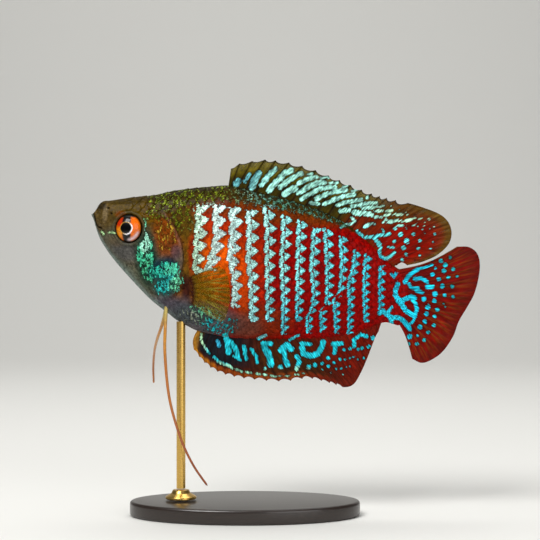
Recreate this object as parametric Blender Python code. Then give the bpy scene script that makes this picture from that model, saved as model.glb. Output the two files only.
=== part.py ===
"""A male dwarf gourami (Trichogaster lalius), life size, held on a plain display stand.

Metres, +Z up. The head points to -X and the fish's left side faces -Y. The origin is at the middle of
the stand base's underside. Outlines are written in millimetres: "along" is the distance behind the
snout, "up" is the height above the floor.
"""

import math

import bmesh
import bpy
from mathutils import Vector

MM = 0.001
TOTAL_LENGTH = 77.8  # mm from the jaw tip to the end of the tail fin, the driving size
DRAWN_LENGTH = 77.8  # mm, the length at which the outlines below are written
SCALE = MM * TOTAL_LENGTH / DRAWN_LENGTH
SNOUT_X = -30.7  # mm from the middle of the stand base to the jaw tip
GAP = 0.3  # mm left between pieces that touch

# The body's outline in side view, as (along, up) in mm.
BACK_LINE = [
    (0.0, 60.25), (0.5, 60.6), (1.0, 61.3), (1.6, 62.3), (2.5, 62.9), (3.7, 63.0), (5.7, 63.3),
    (8.7, 63.7), (12.7, 64.1), (16.7, 65.0), (19.7, 65.4), (23.7, 65.8), (27.7, 66.0), (31.7, 65.1),
    (35.7, 64.1), (39.7, 63.1), (43.7, 61.8), (47.7, 60.2), (51.7, 57.8), (55.7, 54.6), (58.5, 51.6),
    (61.3, 49.4),
]
BELLY_LINE = [
    (0.0, 59.95), (0.5, 58.8), (0.9, 57.4), (1.5, 55.6), (2.3, 54.1), (3.7, 52.0), (5.7, 49.5),
    (8.7, 46.2), (11.7, 43.1), (14.7, 40.7), (17.7, 38.5), (21.7, 36.6), (27.7, 35.4), (33.7, 35.0),
    (39.7, 34.9), (45.7, 35.0), (50.7, 35.6), (54.7, 36.9), (58.5, 38.4), (61.3, 37.8),
]
HALF_WIDTH = [
    (0.0, 0.5), (0.5, 1.1), (1.1, 1.55), (2.3, 2.1), (3.7, 2.6), (5.7, 3.15), (8.7, 3.7), (11.7, 4.2),
    (14.7, 4.65), (17.7, 4.95), (21.7, 5.2), (27.7, 5.3), (33.7, 5.05), (39.7, 4.5), (45.7, 3.8),
    (51.7, 2.85), (55.7, 2.15), (58.5, 1.55), (61.3, 0.85),
]
# How the cross-section swells: the level of its widest point, then how round its back and belly are.
WIDEST_LEVEL = [(0.0, 1.0), (4.0, 0.9), (12.0, 0.85), (22.0, 0.98), (34.0, 0.9), (46.0, 0.88), (61.3, 1.0)]
BACK_KEEL = [(0.0, 0.5), (12.0, 0.5), (22.0, 0.6), (34.0, 0.66), (46.0, 0.7), (61.3, 0.6)]
BELLY_KEEL = [(0.0, 0.5), (4.0, 0.62), (12.0, 0.7), (22.0, 0.6), (34.0, 0.75), (46.0, 0.85), (61.3, 0.6)]
BODY_END = 61.3
RING_SIDE = 16  # faces down one side of the body
# (from, to, length of one face) along the body, finest at the mouth and round the eye.
BODY_STEPS = [(0.0, 2.8, 0.35), (2.8, 11.8, 0.6), (11.8, 20.2, 0.84), (20.2, BODY_END, 1.47)]

# The head's own features.
EYE_ALONG, EYE_UP = 7.55, 57.3
EYE_HALF_LENGTH, EYE_HALF_HEIGHT, EYE_HALF_DEPTH = 2.7, 2.85, 1.75
EYE_STANDS_OUT = 0.7  # mm that the eye's dome stands proud of the cheek
RIM_RADIUS, RIM_CLEAR, RIM_SUNK = 0.42, 0.42, 0.14  # the lid ring: its thickness, and where it lies
MOUTH_LINE = [(-0.6, 60.6), (0.45, 60.2), (0.85, 59.3), (1.1, 58.3), (1.5, 57.6), (2.2, 57.35)]
LIP_RADIUS, LIP_SUNK, LIP_OFFSET, LIP_STEP = 0.32, 0.16, 0.4, 0.5
ROLL_SIDES, RIM_POINTS = 7, 26
EYE_TURNS, EYE_RINGS = 20, 10
JAW_BACK_LINE = [(2.2, 57.35), (2.75, 56.2), (3.0, 54.6), (3.2, 50.5)]
NOSTRILS = [(3.55, 61.3), (4.25, 60.2)]
NOSTRIL_RADIUS = 0.32
SLOPE_REACH = 2.0  # mm each way over which the head's slope at an eye is measured
GILL_LINE = [
    (12.6, 68.0), (13.4, 64.0), (15.0, 60.6), (16.8, 57.6), (18.2, 54.4), (18.6, 51.2), (18.1, 48.4),
    (17.6, 46.0), (16.2, 43.9), (14.2, 42.6), (12.6, 41.3), (11.0, 38.0),
]
FLAP_HEIGHT, FLAP_LENGTH = 0.38, 2.6
EDGE_FADE = 0.8  # mm of half width within which the flap's height fades towards back and belly
STALK_ALONG = 54.6  # where the tail stalk is parted from the trunk
# Places in mm well outside the body, where the shapes that part it end.
FAR_AHEAD, FAR_BEHIND, FAR_BELOW, FAR_ABOVE, FAR_ACROSS = -6.0, 70.0, 20.0, 80.0, 9.0

# Fins: the base runs on the body, the margin is where the rays end.
DORSAL_MARGIN = [
    (27.9, 69.3), (29.6, 70.3), (32.1, 70.8), (35.0, 71.1), (39.6, 70.5), (44.5, 69.1), (49.9, 66.9),
    (55.8, 64.4), (60.9, 63.0), (65.7, 61.7), (70.0, 59.9), (71.8, 57.5), (71.6, 54.6), (69.4, 52.2),
    (66.3, 50.7), (63.1, 49.95),
]
DORSAL_SPINES, DORSAL_SOFT_RAYS = 16, 9
DORSAL_NOTCH, ANAL_NOTCH = 0.065, 0.055  # share of the fin's height between spine tips
# Where each share of the rays has its root, along the back, and its tip, as a share of the margin.
DORSAL_ROOTS = [
    (0.0, 27.3), (0.042, 27.7), (0.125, 30.5), (0.25, 37.0), (0.375, 45.0), (0.5, 50.4), (0.625, 54.1),
    (0.75, 56.7), (1.0, 60.2),
]
DORSAL_TIPS = [
    (0.0, 0.0), (0.042, 0.067), (0.125, 0.195), (0.167, 0.229), (0.25, 0.302), (0.333, 0.37), (0.5, 0.47),
    (0.625, 0.533), (0.75, 0.64), (0.833, 0.72), (0.917, 0.827), (1.0, 1.0),
]
ANAL_TIPS = 0.93  # a power that leans the rays back
DORSAL_ARCH, DORSAL_SWAY = 0.9, 0.5  # mm that the rays bow up, and that the fin waves sideways
DORSAL_WAVES, ANAL_WAVES = 5.0, 6.0  # radians of that wave along the fin
ANAL_BASE = (21.6, 58.2)
ANAL_MARGIN = [
    (20.5, 33.0), (22.4, 30.6), (25.0, 28.7), (28.5, 27.6), (33.0, 27.0), (38.4, 26.7), (43.5, 27.3),
    (47.5, 26.4), (50.4, 25.6), (52.4, 26.2), (53.9, 28.6), (55.3, 31.8), (56.6, 35.2), (57.4, 36.8),
]
ANAL_SPINES, ANAL_SOFT_RAYS = 17, 13
ANAL_ARCH, ANAL_SWAY, ANAL_PHASE = 0.7, 0.4, 0.6
TAIL_BASE = [(61.7, 49.2), (61.9, 43.6), (61.7, 37.9)]
TAIL_MARGIN = [
    (73.2, 53.7), (75.6, 53.6), (77.2, 52.4), (77.8, 50.4), (77.6, 47.6), (76.7, 44.2), (75.2, 41.4),
    (73.6, 38.7), (72.4, 35.6), (70.3, 32.6), (67.9, 30.9), (66.0, 30.4), (64.2, 31.2),
]
TAIL_RAYS = 15
TAIL_ARCH, TAIL_BEND, TAIL_CUP = 0.8, 1.3, 2.2  # mm of bow, mm of bend to the right, radians of cupping
TAIL_BEND_POWER, TAIL_FULLEST = 1.6, 0.45
PECTORAL_BASE = [(19.1, 47.3), (19.3, 45.1), (19.6, 42.9)]
PECTORAL_MARGIN = [
    (25.7, 49.8), (27.2, 48.4), (27.8, 45.6), (27.8, 43.0), (27.2, 40.4), (26.3, 38.9), (24.4, 39.4),
]
PECTORAL_RAYS = 9
PECTORAL_OUT, PECTORAL_FLARE = 1.9, 0.8  # mm that the fin's end stands away, and how soon it does
MEMBRANE = 0.5  # mm thick
RAY_ROOT, RAY_TIP = 0.95, 0.6  # mm thick at a ray
RAY_FLANK = 0.22  # share of the space between two rays, from a ray's crest to its foot
FIN_SINK = 0.9  # mm that a fin runs into the body before it is trimmed to it
ROOT_FLESH, TAIL_FLESH, PECTORAL_FLESH = 0.12, 0.3, 0.35  # mm added to each face at the root

# Pelvic feelers: one long ray each, as (along, sideways, up); the near one hangs, the far one reaches out.
NEAR_FEELER = [
    (15.0, -0.7, 42.2), (14.95, -1.1, 40.2), (14.85, -1.7, 37.0), (14.8, -2.2, 34.0), (14.95, -2.6, 31.0),
    (15.3, -2.9, 27.0), (15.9, -3.1, 23.0), (17.0, -3.2, 18.8), (18.6, -3.1, 14.2), (20.7, -2.9, 10.0),
    (23.3, -2.6, 6.2),
]
FAR_FEELER = [
    (14.9, 0.7, 42.2), (14.5, 1.8, 40.0), (13.7, 4.0, 37.5), (12.7, 7.4, 35.2), (11.9, 11.4, 33.2),
    (11.3, 15.4, 31.0), (10.9, 18.8, 28.2), (10.8, 21.2, 24.8),
]
FEELER_ROOT_RADIUS, FEELER_TIP_RADIUS = 0.34, 0.25
FEELER_LENGTHS = ("root", "middle", "tip")
FEELER_SIDES = 8
FEELER_STEP = 1.5

# The stand.
BASE_LENGTH, BASE_WIDTH, BASE_HEIGHT, BASE_CHAMFER = 46.0, 26.0, 3.0, 0.6
BASE_POINTS = 56
ROD_ALONG = 17.9
ROD_RADIUS, ROD_SIDES = 0.9, 20
ROD_SINK = 1.5  # mm that the rod runs into the belly before it is trimmed to it
FOOT_PROFILE = [(3.1, 0.0), (3.1, 0.45), (2.5, 0.8), (1.9, 1.15), (1.6, 1.8)]

COLOURS = {
    "flank": (0.42, 0.02, 0.01), "fin": (0.33, 0.05, 0.01),
    "eye": (0.55, 0.16, 0.01), "feeler": (0.52, 0.2, 0.01), "wood": (0.03, 0.02, 0.016),
    "brass": (0.56, 0.4, 0.15),
}


def curve(points, at):
    """The value at a place on a smooth line through (place, value) points."""
    if at <= points[0][0]:
        return points[0][1]
    if at >= points[-1][0]:
        return points[-1][1]
    i = max(k for k in range(len(points) - 1) if points[k][0] <= at)
    (x0, y0), (x1, y1) = points[i], points[i + 1]

    def slope(k):
        before, after = points[max(k - 1, 0)], points[min(k + 1, len(points) - 1)]
        return (after[1] - before[1]) / (after[0] - before[0])

    span = x1 - x0
    t = (at - x0) / span
    rise = 3 * t * t - 2 * t ** 3
    bend = slope(i) * (t - 2 * t * t + t ** 3) + slope(i + 1) * (t ** 3 - t * t)
    return y0 + (y1 - y0) * rise + span * bend


def path_point(points, share):
    """The point at a share, 0 to 1, of a smooth path through points of two or three numbers."""
    place = share * (len(points) - 1)
    i = min(int(place), len(points) - 2)
    t = place - i
    a, b = Vector(points[i]), Vector(points[i + 1])
    before = Vector(points[i - 1]) if i else a * 2 - b
    after = Vector(points[i + 2]) if i + 2 < len(points) else b * 2 - a
    start, end = (b - before) / 2, (after - a) / 2
    return (
        a * (1 + 2 * t) * (1 - t) ** 2 + b * t * t * (3 - 2 * t)
        + start * t * (1 - t) ** 2 - end * t * t * (1 - t)
    )


def dense(points, count):
    """Points at even shares of the smooth path through points."""
    return [path_point(points, k / (count - 1)) for k in range(count)]


def evenly(line, step):
    """Points at about a step from each other along a line, from its first to its last."""
    lengths = [(b - a).length for a, b in zip(line, line[1:])]
    count = max(1, round(sum(lengths) / step))
    spots = []
    for k in range(count + 1):
        left = sum(lengths) * k / count
        i = 0
        while i < len(lengths) - 1 and left > lengths[i]:
            left -= lengths[i]
            i += 1
        spots.append(line[i].lerp(line[i + 1], min(1.0, left / lengths[i])))
    return spots


def part_of(line, start, end):
    """The stretch of a line between two distances from its start."""
    stretch, walked = [], 0.0
    for a, b in zip(line, line[1:]):
        length = (b - a).length
        if walked + length >= start and walked <= end:
            if not stretch:
                stretch.append(a.lerp(b, max(0.0, (start - walked) / length)))
            stretch.append(a.lerp(b, min(1.0, (end - walked) / length)))
        walked += length
    return stretch


def distance_to(line, along, up):
    """The distance from a place in side view to a line of points."""
    here = Vector((along, up))
    nearest = math.inf
    for a, b in zip(line, line[1:]):
        a, b = Vector(a[:2]), Vector(b[:2])
        share = max(0.0, min(1.0, (here - a).dot(b - a) / (b - a).length_squared))
        nearest = min(nearest, (here - a.lerp(b, share)).length)
    return nearest


def to_row(along, side, up):
    """A place on the fish, in mm, as a point in metres."""
    return Vector((along + SNOUT_X, side, up)) * SCALE


def section_width(along, level):
    """Half the body's width at a level that runs from 0 at the back to 1 at the belly."""
    keel = curve(BACK_KEEL, along) * (1 - level) + curve(BELLY_KEEL, along) * level
    swell = math.sin(math.pi * level ** curve(WIDEST_LEVEL, along))
    return curve(HALF_WIDTH, along) * max(swell, 0.0) ** keel


def side_of(along, up):
    """Half the body's width at a place in side view."""
    top, bottom = curve(BACK_LINE, along), curve(BELLY_LINE, along)
    return section_width(along, max(0.0, min(1.0, (top - up) / (top - bottom))))


MOUTH = dense(MOUTH_LINE, 16)
GILL = dense(GILL_LINE, 34)


def flap_relief(along, up):
    """What the free edge of the gill cover adds to the head's half width."""
    near = max(0.0, 1 - distance_to(GILL, along, up) / FLAP_LENGTH)
    return FLAP_HEIGHT * near * near * (3 - 2 * near)


def mesh_object(name, points, faces, colour, smooth=True):
    """A new object from points in metres; its faces are turned outwards."""
    mesh = bpy.data.meshes.new(name)
    mesh.from_pydata([tuple(p) for p in points], [], faces)
    bm = bmesh.new()
    bm.from_mesh(mesh)
    bmesh.ops.recalc_face_normals(bm, faces=bm.faces)
    bm.to_mesh(mesh)
    bm.free()
    obj = bpy.data.objects.new(name, mesh)
    bpy.context.scene.collection.objects.link(obj)
    mesh.materials.append(material(colour))
    if smooth:
        mesh.shade_smooth()
        mesh.set_sharp_from_angle(angle=math.radians(60))
    return obj


def material(name):
    found = bpy.data.materials.get(name)
    if found:
        return found
    made = bpy.data.materials.new(name)
    made.use_nodes = True
    surface = made.node_tree.nodes["Principled BSDF"]
    surface.inputs["Base Color"].default_value = (*COLOURS[name], 1)
    surface.inputs["Roughness"].default_value = 0.35
    surface.inputs["Metallic"].default_value = 1.0 if name == "brass" else 0.0
    return made


def body_stations(grow):
    stations = []
    for start, end, step in BODY_STEPS:
        count = round((end - start) / step)
        stations += [start + (end - start) * k / count for k in range(count)]
    stations.append(BODY_END)
    return [(s, s) for s in stations] + ([(BODY_END, BODY_END + grow)] if grow else [])


def body_mesh(name, grow=0.0, flap=False):
    """The whole body as one closed skin, grown all round by a margin where it is to trim its neighbours."""
    points, faces = [], []
    ring = 2 * RING_SIDE
    stations = body_stations(grow)
    for along, placed in stations:
        top, bottom = curve(BACK_LINE, along) + grow, curve(BELLY_LINE, along) - grow
        for k in range(ring):
            turn = math.pi * k / RING_SIDE
            level = (1 - math.cos(turn)) / 2
            up = top + (bottom - top) * level
            half = section_width(along, level)
            if 0 < k % RING_SIDE:
                half += grow + (flap_relief(along, up) if flap else 0.0) * min(1.0, half / EDGE_FADE)
            points.append(to_row(placed, -half if k < RING_SIDE else half, up))
    for s in range(len(stations) - 1):
        for k in range(ring):
            a, b = s * ring + k, s * ring + (k + 1) % ring
            faces.append((a, b, b + ring, a + ring))
    faces.append(tuple(range(ring)))
    faces.append(tuple(reversed(range((len(stations) - 1) * ring, len(stations) * ring))))
    return mesh_object(name, points, faces, "flank")


def helper(obj):
    obj.hide_render = True
    obj.display_type = "WIRE"
    return obj


def keep_largest(obj):
    """Drops every loose scrap but the largest closed surface."""
    bm = bmesh.new()
    bm.from_mesh(obj.data)
    left, groups = set(bm.verts), []
    while left:
        group, edge = set(), [left.pop()]
        while edge:
            vert = edge.pop()
            group.add(vert)
            linked = {e.other_vert(vert) for e in vert.link_edges}
            fresh = linked & left
            left -= fresh
            edge += fresh
        groups.append(group)
    largest = max(groups, key=len)
    bmesh.ops.delete(bm, geom=[v for v in bm.verts if v not in largest], context="VERTS")
    bmesh.ops.triangulate(bm, faces=bm.faces)
    bm.to_mesh(obj.data)
    bm.free()


def cut(obj, other, operation="DIFFERENCE"):
    """Applies a Boolean with another mesh."""
    modifier = obj.modifiers.new("cut", "BOOLEAN")
    modifier.operation = operation
    modifier.solver = "EXACT"
    modifier.object = other
    bpy.context.view_layer.objects.active = obj
    bpy.ops.object.modifier_apply(modifier=modifier.name)
    keep_largest(obj)


def remove(*objects):
    for obj in objects:
        bpy.data.objects.remove(obj)


def shifted(line, by):
    """A line moved sideways, to its right as it runs, by a distance."""
    moved = []
    for k, point in enumerate(line):
        run = line[min(k + 1, len(line) - 1)] - line[max(k - 1, 0)]
        moved.append(point + Vector((run.y, -run.x)).normalized() * by)
    return moved


def prism(name, outline):
    """An outline in side view, drawn out across the fish."""
    count = len(outline)
    points = [to_row(p[0], side, p[1]) for side in (-FAR_ACROSS, FAR_ACROSS) for p in outline]
    faces = [tuple(range(count)), tuple(range(count, 2 * count))]
    faces += [(k, (k + 1) % count, (k + 1) % count + count, k + count) for k in range(count)]
    return helper(mesh_object(name, points, faces, "flank", smooth=False))


def eye_rim(sign):
    """The middle line of the ring of lid round an eye, lying on the head."""
    line = []
    for k in range(RIM_POINTS):
        turn = 2 * math.pi * k / RIM_POINTS
        along = EYE_ALONG + (EYE_HALF_LENGTH + RIM_CLEAR) * math.cos(turn)
        up = EYE_UP + (EYE_HALF_HEIGHT + RIM_CLEAR) * math.sin(turn)
        line.append(Vector((along, sign * (side_of(along, up) - RIM_SUNK), up)))
    return line


def lip_line(offset):
    """The middle line of a lip, from one mouth corner round the snout to the other."""
    side = []
    for edge, point in zip(MOUTH, shifted(MOUTH, offset)):
        half = side_of(*edge) - LIP_SUNK
        if edge.x > 0 and half > LIP_RADIUS:
            side.append(Vector((point.x, half, point.y)))
    mirrored = [Vector((p.x, -p.y, p.z)) for p in side]
    return evenly([*reversed(side), *mirrored], LIP_STEP)


def ellipsoid(name, centre, radii, colour, faces_out, turns=EYE_TURNS, rings=EYE_RINGS):
    """A ball squashed to three radii, its poles along the way that it faces."""
    lean_to = Vector((0, math.copysign(1, faces_out.y), 0)).rotation_difference(faces_out)
    local = [Vector((0, -radii[1], 0))]
    for r in range(1, rings):
        lean = math.pi * r / rings
        for k in range(turns):
            turn = 2 * math.pi * k / turns
            x, z = math.sin(lean) * math.cos(turn), math.sin(lean) * math.sin(turn)
            local.append(Vector((radii[0] * x, -radii[1] * math.cos(lean), radii[2] * z)))
    local.append(Vector((0, radii[1], 0)))
    points = [to_row(*(centre + lean_to @ p)) for p in local]
    last = len(points) - 1
    faces = [(0, 1 + k, 1 + (k + 1) % turns) for k in range(turns)]
    for r in range(rings - 2):
        for k in range(turns):
            a, b = 1 + r * turns + k, 1 + r * turns + (k + 1) % turns
            faces.append((a, a + turns, b + turns, b))
    faces += [(last, last - turns + (k + 1) % turns, last - turns + k) for k in range(turns)]
    return mesh_object(name, points, faces, colour)


def outward(along, up, sign):
    """The way that the body's surface faces at a place in side view."""
    step = SLOPE_REACH
    rise_along = (side_of(along + step, up) - side_of(along - step, up)) / (2 * step)
    rise_up = (side_of(along, up + step) - side_of(along, up - step)) / (2 * step)
    return Vector((-rise_along, sign, -rise_up)).normalized()


def eye_place(sign):
    """An eye's middle and the way that it looks."""
    depth = side_of(EYE_ALONG, EYE_UP) + EYE_STANDS_OUT - EYE_HALF_DEPTH
    return Vector((EYE_ALONG, sign * depth, EYE_UP)), outward(EYE_ALONG, EYE_UP, sign)


def make_eyes():
    for side, sign in (("left", -1), ("right", 1)):
        centre, looks = eye_place(sign)
        ellipsoid(f"eye_{side}", centre, (EYE_HALF_LENGTH, EYE_HALF_DEPTH, EYE_HALF_HEIGHT), "eye", looks)


def cut_sockets(head):
    for sign in (-1, 1):
        centre, looks = eye_place(sign)
        radii = (EYE_HALF_LENGTH + GAP, EYE_HALF_DEPTH + GAP, EYE_HALF_HEIGHT + GAP)
        cutters = [ellipsoid("socket", centre, radii, "eye", looks)]
        for along, up in NOSTRILS:
            place = Vector((along, sign * (side_of(along, up) + NOSTRIL_RADIUS * 0.3), up))
            cutters.append(ellipsoid("pit", place, (NOSTRIL_RADIUS,) * 3, "eye", looks, 8, 6))
        for cutter in cutters:
            cut(head, helper(cutter))
        remove(*cutters)


def join_features(head):
    """Joins the lips and the rings of lid to the head, as raised rolls."""
    rolls = []
    for offset in (-LIP_OFFSET, LIP_OFFSET):
        line = lip_line(offset)
        thick = lambda s: LIP_RADIUS * (0.7 + 0.3 * math.sin(math.pi * s))
        rolls.append(tube("lip", line, thick, ROLL_SIDES, "flank"))
    for sign in (-1, 1):
        rolls.append(tube("rim", eye_rim(sign), lambda s: RIM_RADIUS, ROLL_SIDES, "flank", loop=True))
    for roll in rolls:
        cut(head, helper(roll), "UNION")
    remove(*rolls)


def make_body():
    """The head, the lower jaw, the trunk and the tail stalk, parted by thin cuts."""
    ahead = shifted(GILL, GAP / 2)
    behind = shifted(GILL, -GAP / 2)
    head = body_mesh("head", flap=True)
    join_features(head)
    front = prism("front", [Vector((FAR_AHEAD, GILL_LINE[0][1])), *ahead, Vector((FAR_AHEAD, FAR_BELOW))])
    cut(head, front, "INTERSECT")
    jaw_line = MOUTH + dense(JAW_BACK_LINE, 8)[1:]
    jaw_above, jaw_below = shifted(jaw_line, -GAP / 2), shifted(jaw_line, GAP / 2)
    jaw = head.copy()
    jaw.data = head.data.copy()
    jaw.name = "lower_jaw"
    bpy.context.scene.collection.objects.link(jaw)
    ahead_of_jaw = [Vector((FAR_AHEAD, FAR_BELOW)), Vector((FAR_AHEAD, MOUTH_LINE[0][1]))]
    inside = prism("inside", [*jaw_below, *ahead_of_jaw])
    outside = prism("outside", [*jaw_above, *ahead_of_jaw])
    cut(jaw, inside, "INTERSECT")
    cut(head, outside)
    cut_sockets(head)
    trunk = body_mesh("trunk")
    before, after = STALK_ALONG - GAP / 2, STALK_ALONG + GAP / 2
    middle = prism("middle", [*behind, Vector((before, FAR_BELOW)), Vector((before, FAR_ABOVE))])
    cut(trunk, middle, "INTERSECT")
    stalk = body_mesh("tail_stalk")
    ends = [(after, FAR_BELOW), (FAR_BEHIND, FAR_BELOW), (FAR_BEHIND, FAR_ABOVE), (after, FAR_ABOVE)]
    rear = prism("rear", [Vector(end) for end in ends])
    cut(stalk, rear, "INTERSECT")
    remove(front, inside, outside, middle, rear)


def fin_mesh(name, place, rays, rows, flesh):
    """A fin of two faces and a rim, with each ray a ridge raised in both faces.

    place(share, out) gives a point in mm: share runs from the first ray to the last, and out from the root
    to the margin. A ray has three columns, its two flanks and its crest; the outer flank of the first ray
    and of the last is left out. The root is thicker by its flesh.
    """
    columns = []
    for ray in range(rays):
        for offset, crest in ((-RAY_FLANK, 0), (0.0, 1), (RAY_FLANK, 0)):
            spot = ray + offset
            if 0 <= spot <= rays - 1:
                columns.append((spot / (rays - 1), crest))
    points = []
    for sign in (-1, 1):
        for share, crest in columns:
            for row in range(rows):
                out = row / (rows - 1)
                ray_half = (RAY_ROOT + (RAY_TIP - RAY_ROOT) * out) / 2
                half = (ray_half if crest else MEMBRANE / 2) + flesh * (1 - out) ** 3
                along, side, up = place(share, out)
                points.append(to_row(along, side + sign * half, up))
    sheet = len(columns) * rows
    faces = []
    for c in range(len(columns) - 1):
        for row in range(rows - 1):
            a, b = c * rows + row, (c + 1) * rows + row
            for one in ((a, b, b + 1), (a, b + 1, a + 1)):
                faces += [one, tuple(k + sheet for k in reversed(one))]
    rim = [c * rows for c in range(len(columns))]
    rim += [(len(columns) - 1) * rows + row for row in range(1, rows)]
    rim += [c * rows + rows - 1 for c in reversed(range(len(columns) - 1))]
    rim += list(reversed(range(1, rows - 1)))
    for a, b in zip(rim, rim[1:] + rim[:1]):
        faces += [(a, b, b + sheet), (a, b + sheet, a + sheet)]
    return mesh_object(name, points, faces, "fin")


def notched(share, rays, spines, depth):
    """How far the margin is drawn in between the free tips of the spines."""
    spot = share * (rays - 1)
    if spot > spines:
        return 0.0
    return depth * min(1.0, abs(spot - round(spot)) / RAY_FLANK)


def dorsal_place(share, out):
    rays = DORSAL_SPINES + DORSAL_SOFT_RAYS
    along = curve(DORSAL_ROOTS, share)
    root = Vector((along, curve(BACK_LINE, along) - FIN_SINK))
    tip = path_point(DORSAL_MARGIN, curve(DORSAL_TIPS, share))
    reach = out * (1 - notched(share, rays, DORSAL_SPINES, DORSAL_NOTCH))
    spot = root.lerp(tip, reach)
    spot.y += DORSAL_ARCH * math.sin(math.pi * out) * share
    sway = DORSAL_SWAY * math.sin(DORSAL_WAVES * share) * out * share
    return spot.x, sway, spot.y


def anal_place(share, out):
    rays = ANAL_SPINES + ANAL_SOFT_RAYS
    along = ANAL_BASE[0] + (ANAL_BASE[1] - ANAL_BASE[0]) * share
    root = Vector((along, curve(BELLY_LINE, along) + FIN_SINK))
    tip = path_point(ANAL_MARGIN, share ** ANAL_TIPS)
    reach = out * (1 - notched(share, rays, ANAL_SPINES, ANAL_NOTCH))
    spot = root.lerp(tip, reach)
    spot.x -= ANAL_ARCH * math.sin(math.pi * out) * (1 - share)
    sway = ANAL_SWAY * math.sin(ANAL_WAVES * share + ANAL_PHASE) * out
    return spot.x, sway, spot.y


def tail_place(share, out):
    root = path_point(TAIL_BASE, share)
    tip = path_point(TAIL_MARGIN, share)
    spot = root.lerp(tip, out)
    spot.y -= TAIL_ARCH * math.sin(math.pi * out) * (1 - 2 * share)
    sway = TAIL_BEND * out ** TAIL_BEND_POWER * math.cos(TAIL_CUP * (share - TAIL_FULLEST))
    return spot.x, sway, spot.y


def pectoral_place(sign):
    def place(share, out):
        root = path_point(PECTORAL_BASE, share)
        tip = path_point(PECTORAL_MARGIN, share)
        spot = root.lerp(tip, out)
        away = -FIN_SINK + (PECTORAL_OUT + FIN_SINK) * out ** PECTORAL_FLARE
        return spot.x, sign * (side_of(spot.x, spot.y) + away), spot.y

    return place


def make_fins(trimmer):
    fins = [
        fin_mesh("dorsal_fin", dorsal_place, DORSAL_SPINES + DORSAL_SOFT_RAYS, 6, ROOT_FLESH),
        fin_mesh("anal_fin", anal_place, ANAL_SPINES + ANAL_SOFT_RAYS, 5, ROOT_FLESH),
        fin_mesh("tail_fin", tail_place, TAIL_RAYS, 8, TAIL_FLESH),
        fin_mesh("pectoral_fin_left", pectoral_place(-1), PECTORAL_RAYS, 6, PECTORAL_FLESH),
        fin_mesh("pectoral_fin_right", pectoral_place(1), PECTORAL_RAYS, 6, PECTORAL_FLESH),
    ]
    for fin in fins:
        cut(fin, trimmer)


def tube(name, line, radius_at, sides, colour, loop=False):
    """A round tube along points in mm, closed at both ends or into a ring."""
    points, faces = [], []
    last = len(line) - 1
    guide = Vector((0, 1, 0)) if loop else Vector((1, 0, 0))
    for k, spot in enumerate(line):
        after = line[(k + 1) % len(line)] if loop else line[min(k + 1, last)]
        before = line[k - 1] if loop else line[max(k - 1, 0)]
        run = (after - before).normalized()
        across = run.cross(guide).normalized()
        other = run.cross(across)
        radius = radius_at(k / last)
        for j in range(sides):
            turn = 2 * math.pi * j / sides
            round_it = across * math.cos(turn) + other * math.sin(turn)
            points.append(to_row(*(spot + round_it * radius)))
    for k in range(last + 1 if loop else last):
        follow = (k + 1) % (last + 1)
        for j in range(sides):
            n = (j + 1) % sides
            faces.append((k * sides + j, k * sides + n, follow * sides + n, follow * sides + j))
    if not loop:
        faces.append(tuple(range(sides)))
        faces.append(tuple(range(last * sides, (last + 1) * sides)))
    return mesh_object(name, points, faces, colour)


def make_feelers(trimmer):
    """Each feeler is parted into three lengths."""
    for side, route in (("left", NEAR_FEELER), ("right", FAR_FEELER)):
        fine = dense(route, 200)
        total = sum((b - a).length for a, b in zip(fine, fine[1:]))
        share = total / len(FEELER_LENGTHS)
        for number, part in enumerate(FEELER_LENGTHS):
            start = number * share + (GAP / 2 if number else 0)
            end = (number + 1) * share - (GAP / 2 if number < 2 else 0)
            line = evenly(part_of(fine, start, end), FEELER_STEP)

            def radius_at(s, start=start, end=end):
                whole = (start + (end - start) * s) / total
                return FEELER_ROOT_RADIUS + (FEELER_TIP_RADIUS - FEELER_ROOT_RADIUS) * whole

            piece = tube(f"feeler_{side}_{part}", line, radius_at, FEELER_SIDES, "feeler")
            if number == 0:
                cut(piece, trimmer)


def make_base():
    """An oval board with a chamfered upper edge."""
    points, faces = [], []
    for inset, up in ((0.0, 0.0), (0.0, BASE_HEIGHT - BASE_CHAMFER), (BASE_CHAMFER, BASE_HEIGHT)):
        for k in range(BASE_POINTS):
            turn = 2 * math.pi * k / BASE_POINTS
            x = (BASE_LENGTH / 2 - inset) * math.cos(turn)
            y = (BASE_WIDTH / 2 - inset) * math.sin(turn)
            points.append(Vector((x, y, up)) * SCALE)
    for level in range(2):
        for k in range(BASE_POINTS):
            a, b = level * BASE_POINTS + k, level * BASE_POINTS + (k + 1) % BASE_POINTS
            faces.append((a, b, b + BASE_POINTS, a + BASE_POINTS))
    faces.append(tuple(range(BASE_POINTS)))
    faces.append(tuple(range(2 * BASE_POINTS, 3 * BASE_POINTS)))
    mesh_object("stand_base", points, faces, "wood")


def make_rod(trimmer):
    """The rod rises from a turned foot and ends against the belly."""
    foot_up = BASE_HEIGHT + GAP
    foot = [Vector((ROD_ALONG, 0, foot_up + up)) for _, up in FOOT_PROFILE]
    radii = [radius for radius, _ in FOOT_PROFILE]
    tube("stand_foot", foot, lambda s: radii[round(s * (len(radii) - 1))], ROD_SIDES, "brass")
    bottom = foot_up + FOOT_PROFILE[-1][1] + GAP
    top = curve(BELLY_LINE, ROD_ALONG) + ROD_SINK
    line = [Vector((ROD_ALONG, 0, bottom)), Vector((ROD_ALONG, 0, top))]
    rod = tube("stand_rod", line, lambda s: ROD_RADIUS, ROD_SIDES, "brass")
    cut(rod, trimmer)


def main():
    for old in list(bpy.data.objects):
        bpy.data.objects.remove(old)
    make_body()
    make_eyes()
    trimmer = helper(body_mesh("trimmer", grow=GAP))
    make_fins(trimmer)
    make_feelers(trimmer)
    make_base()
    make_rod(trimmer)
    remove(trimmer)


main()
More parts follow.
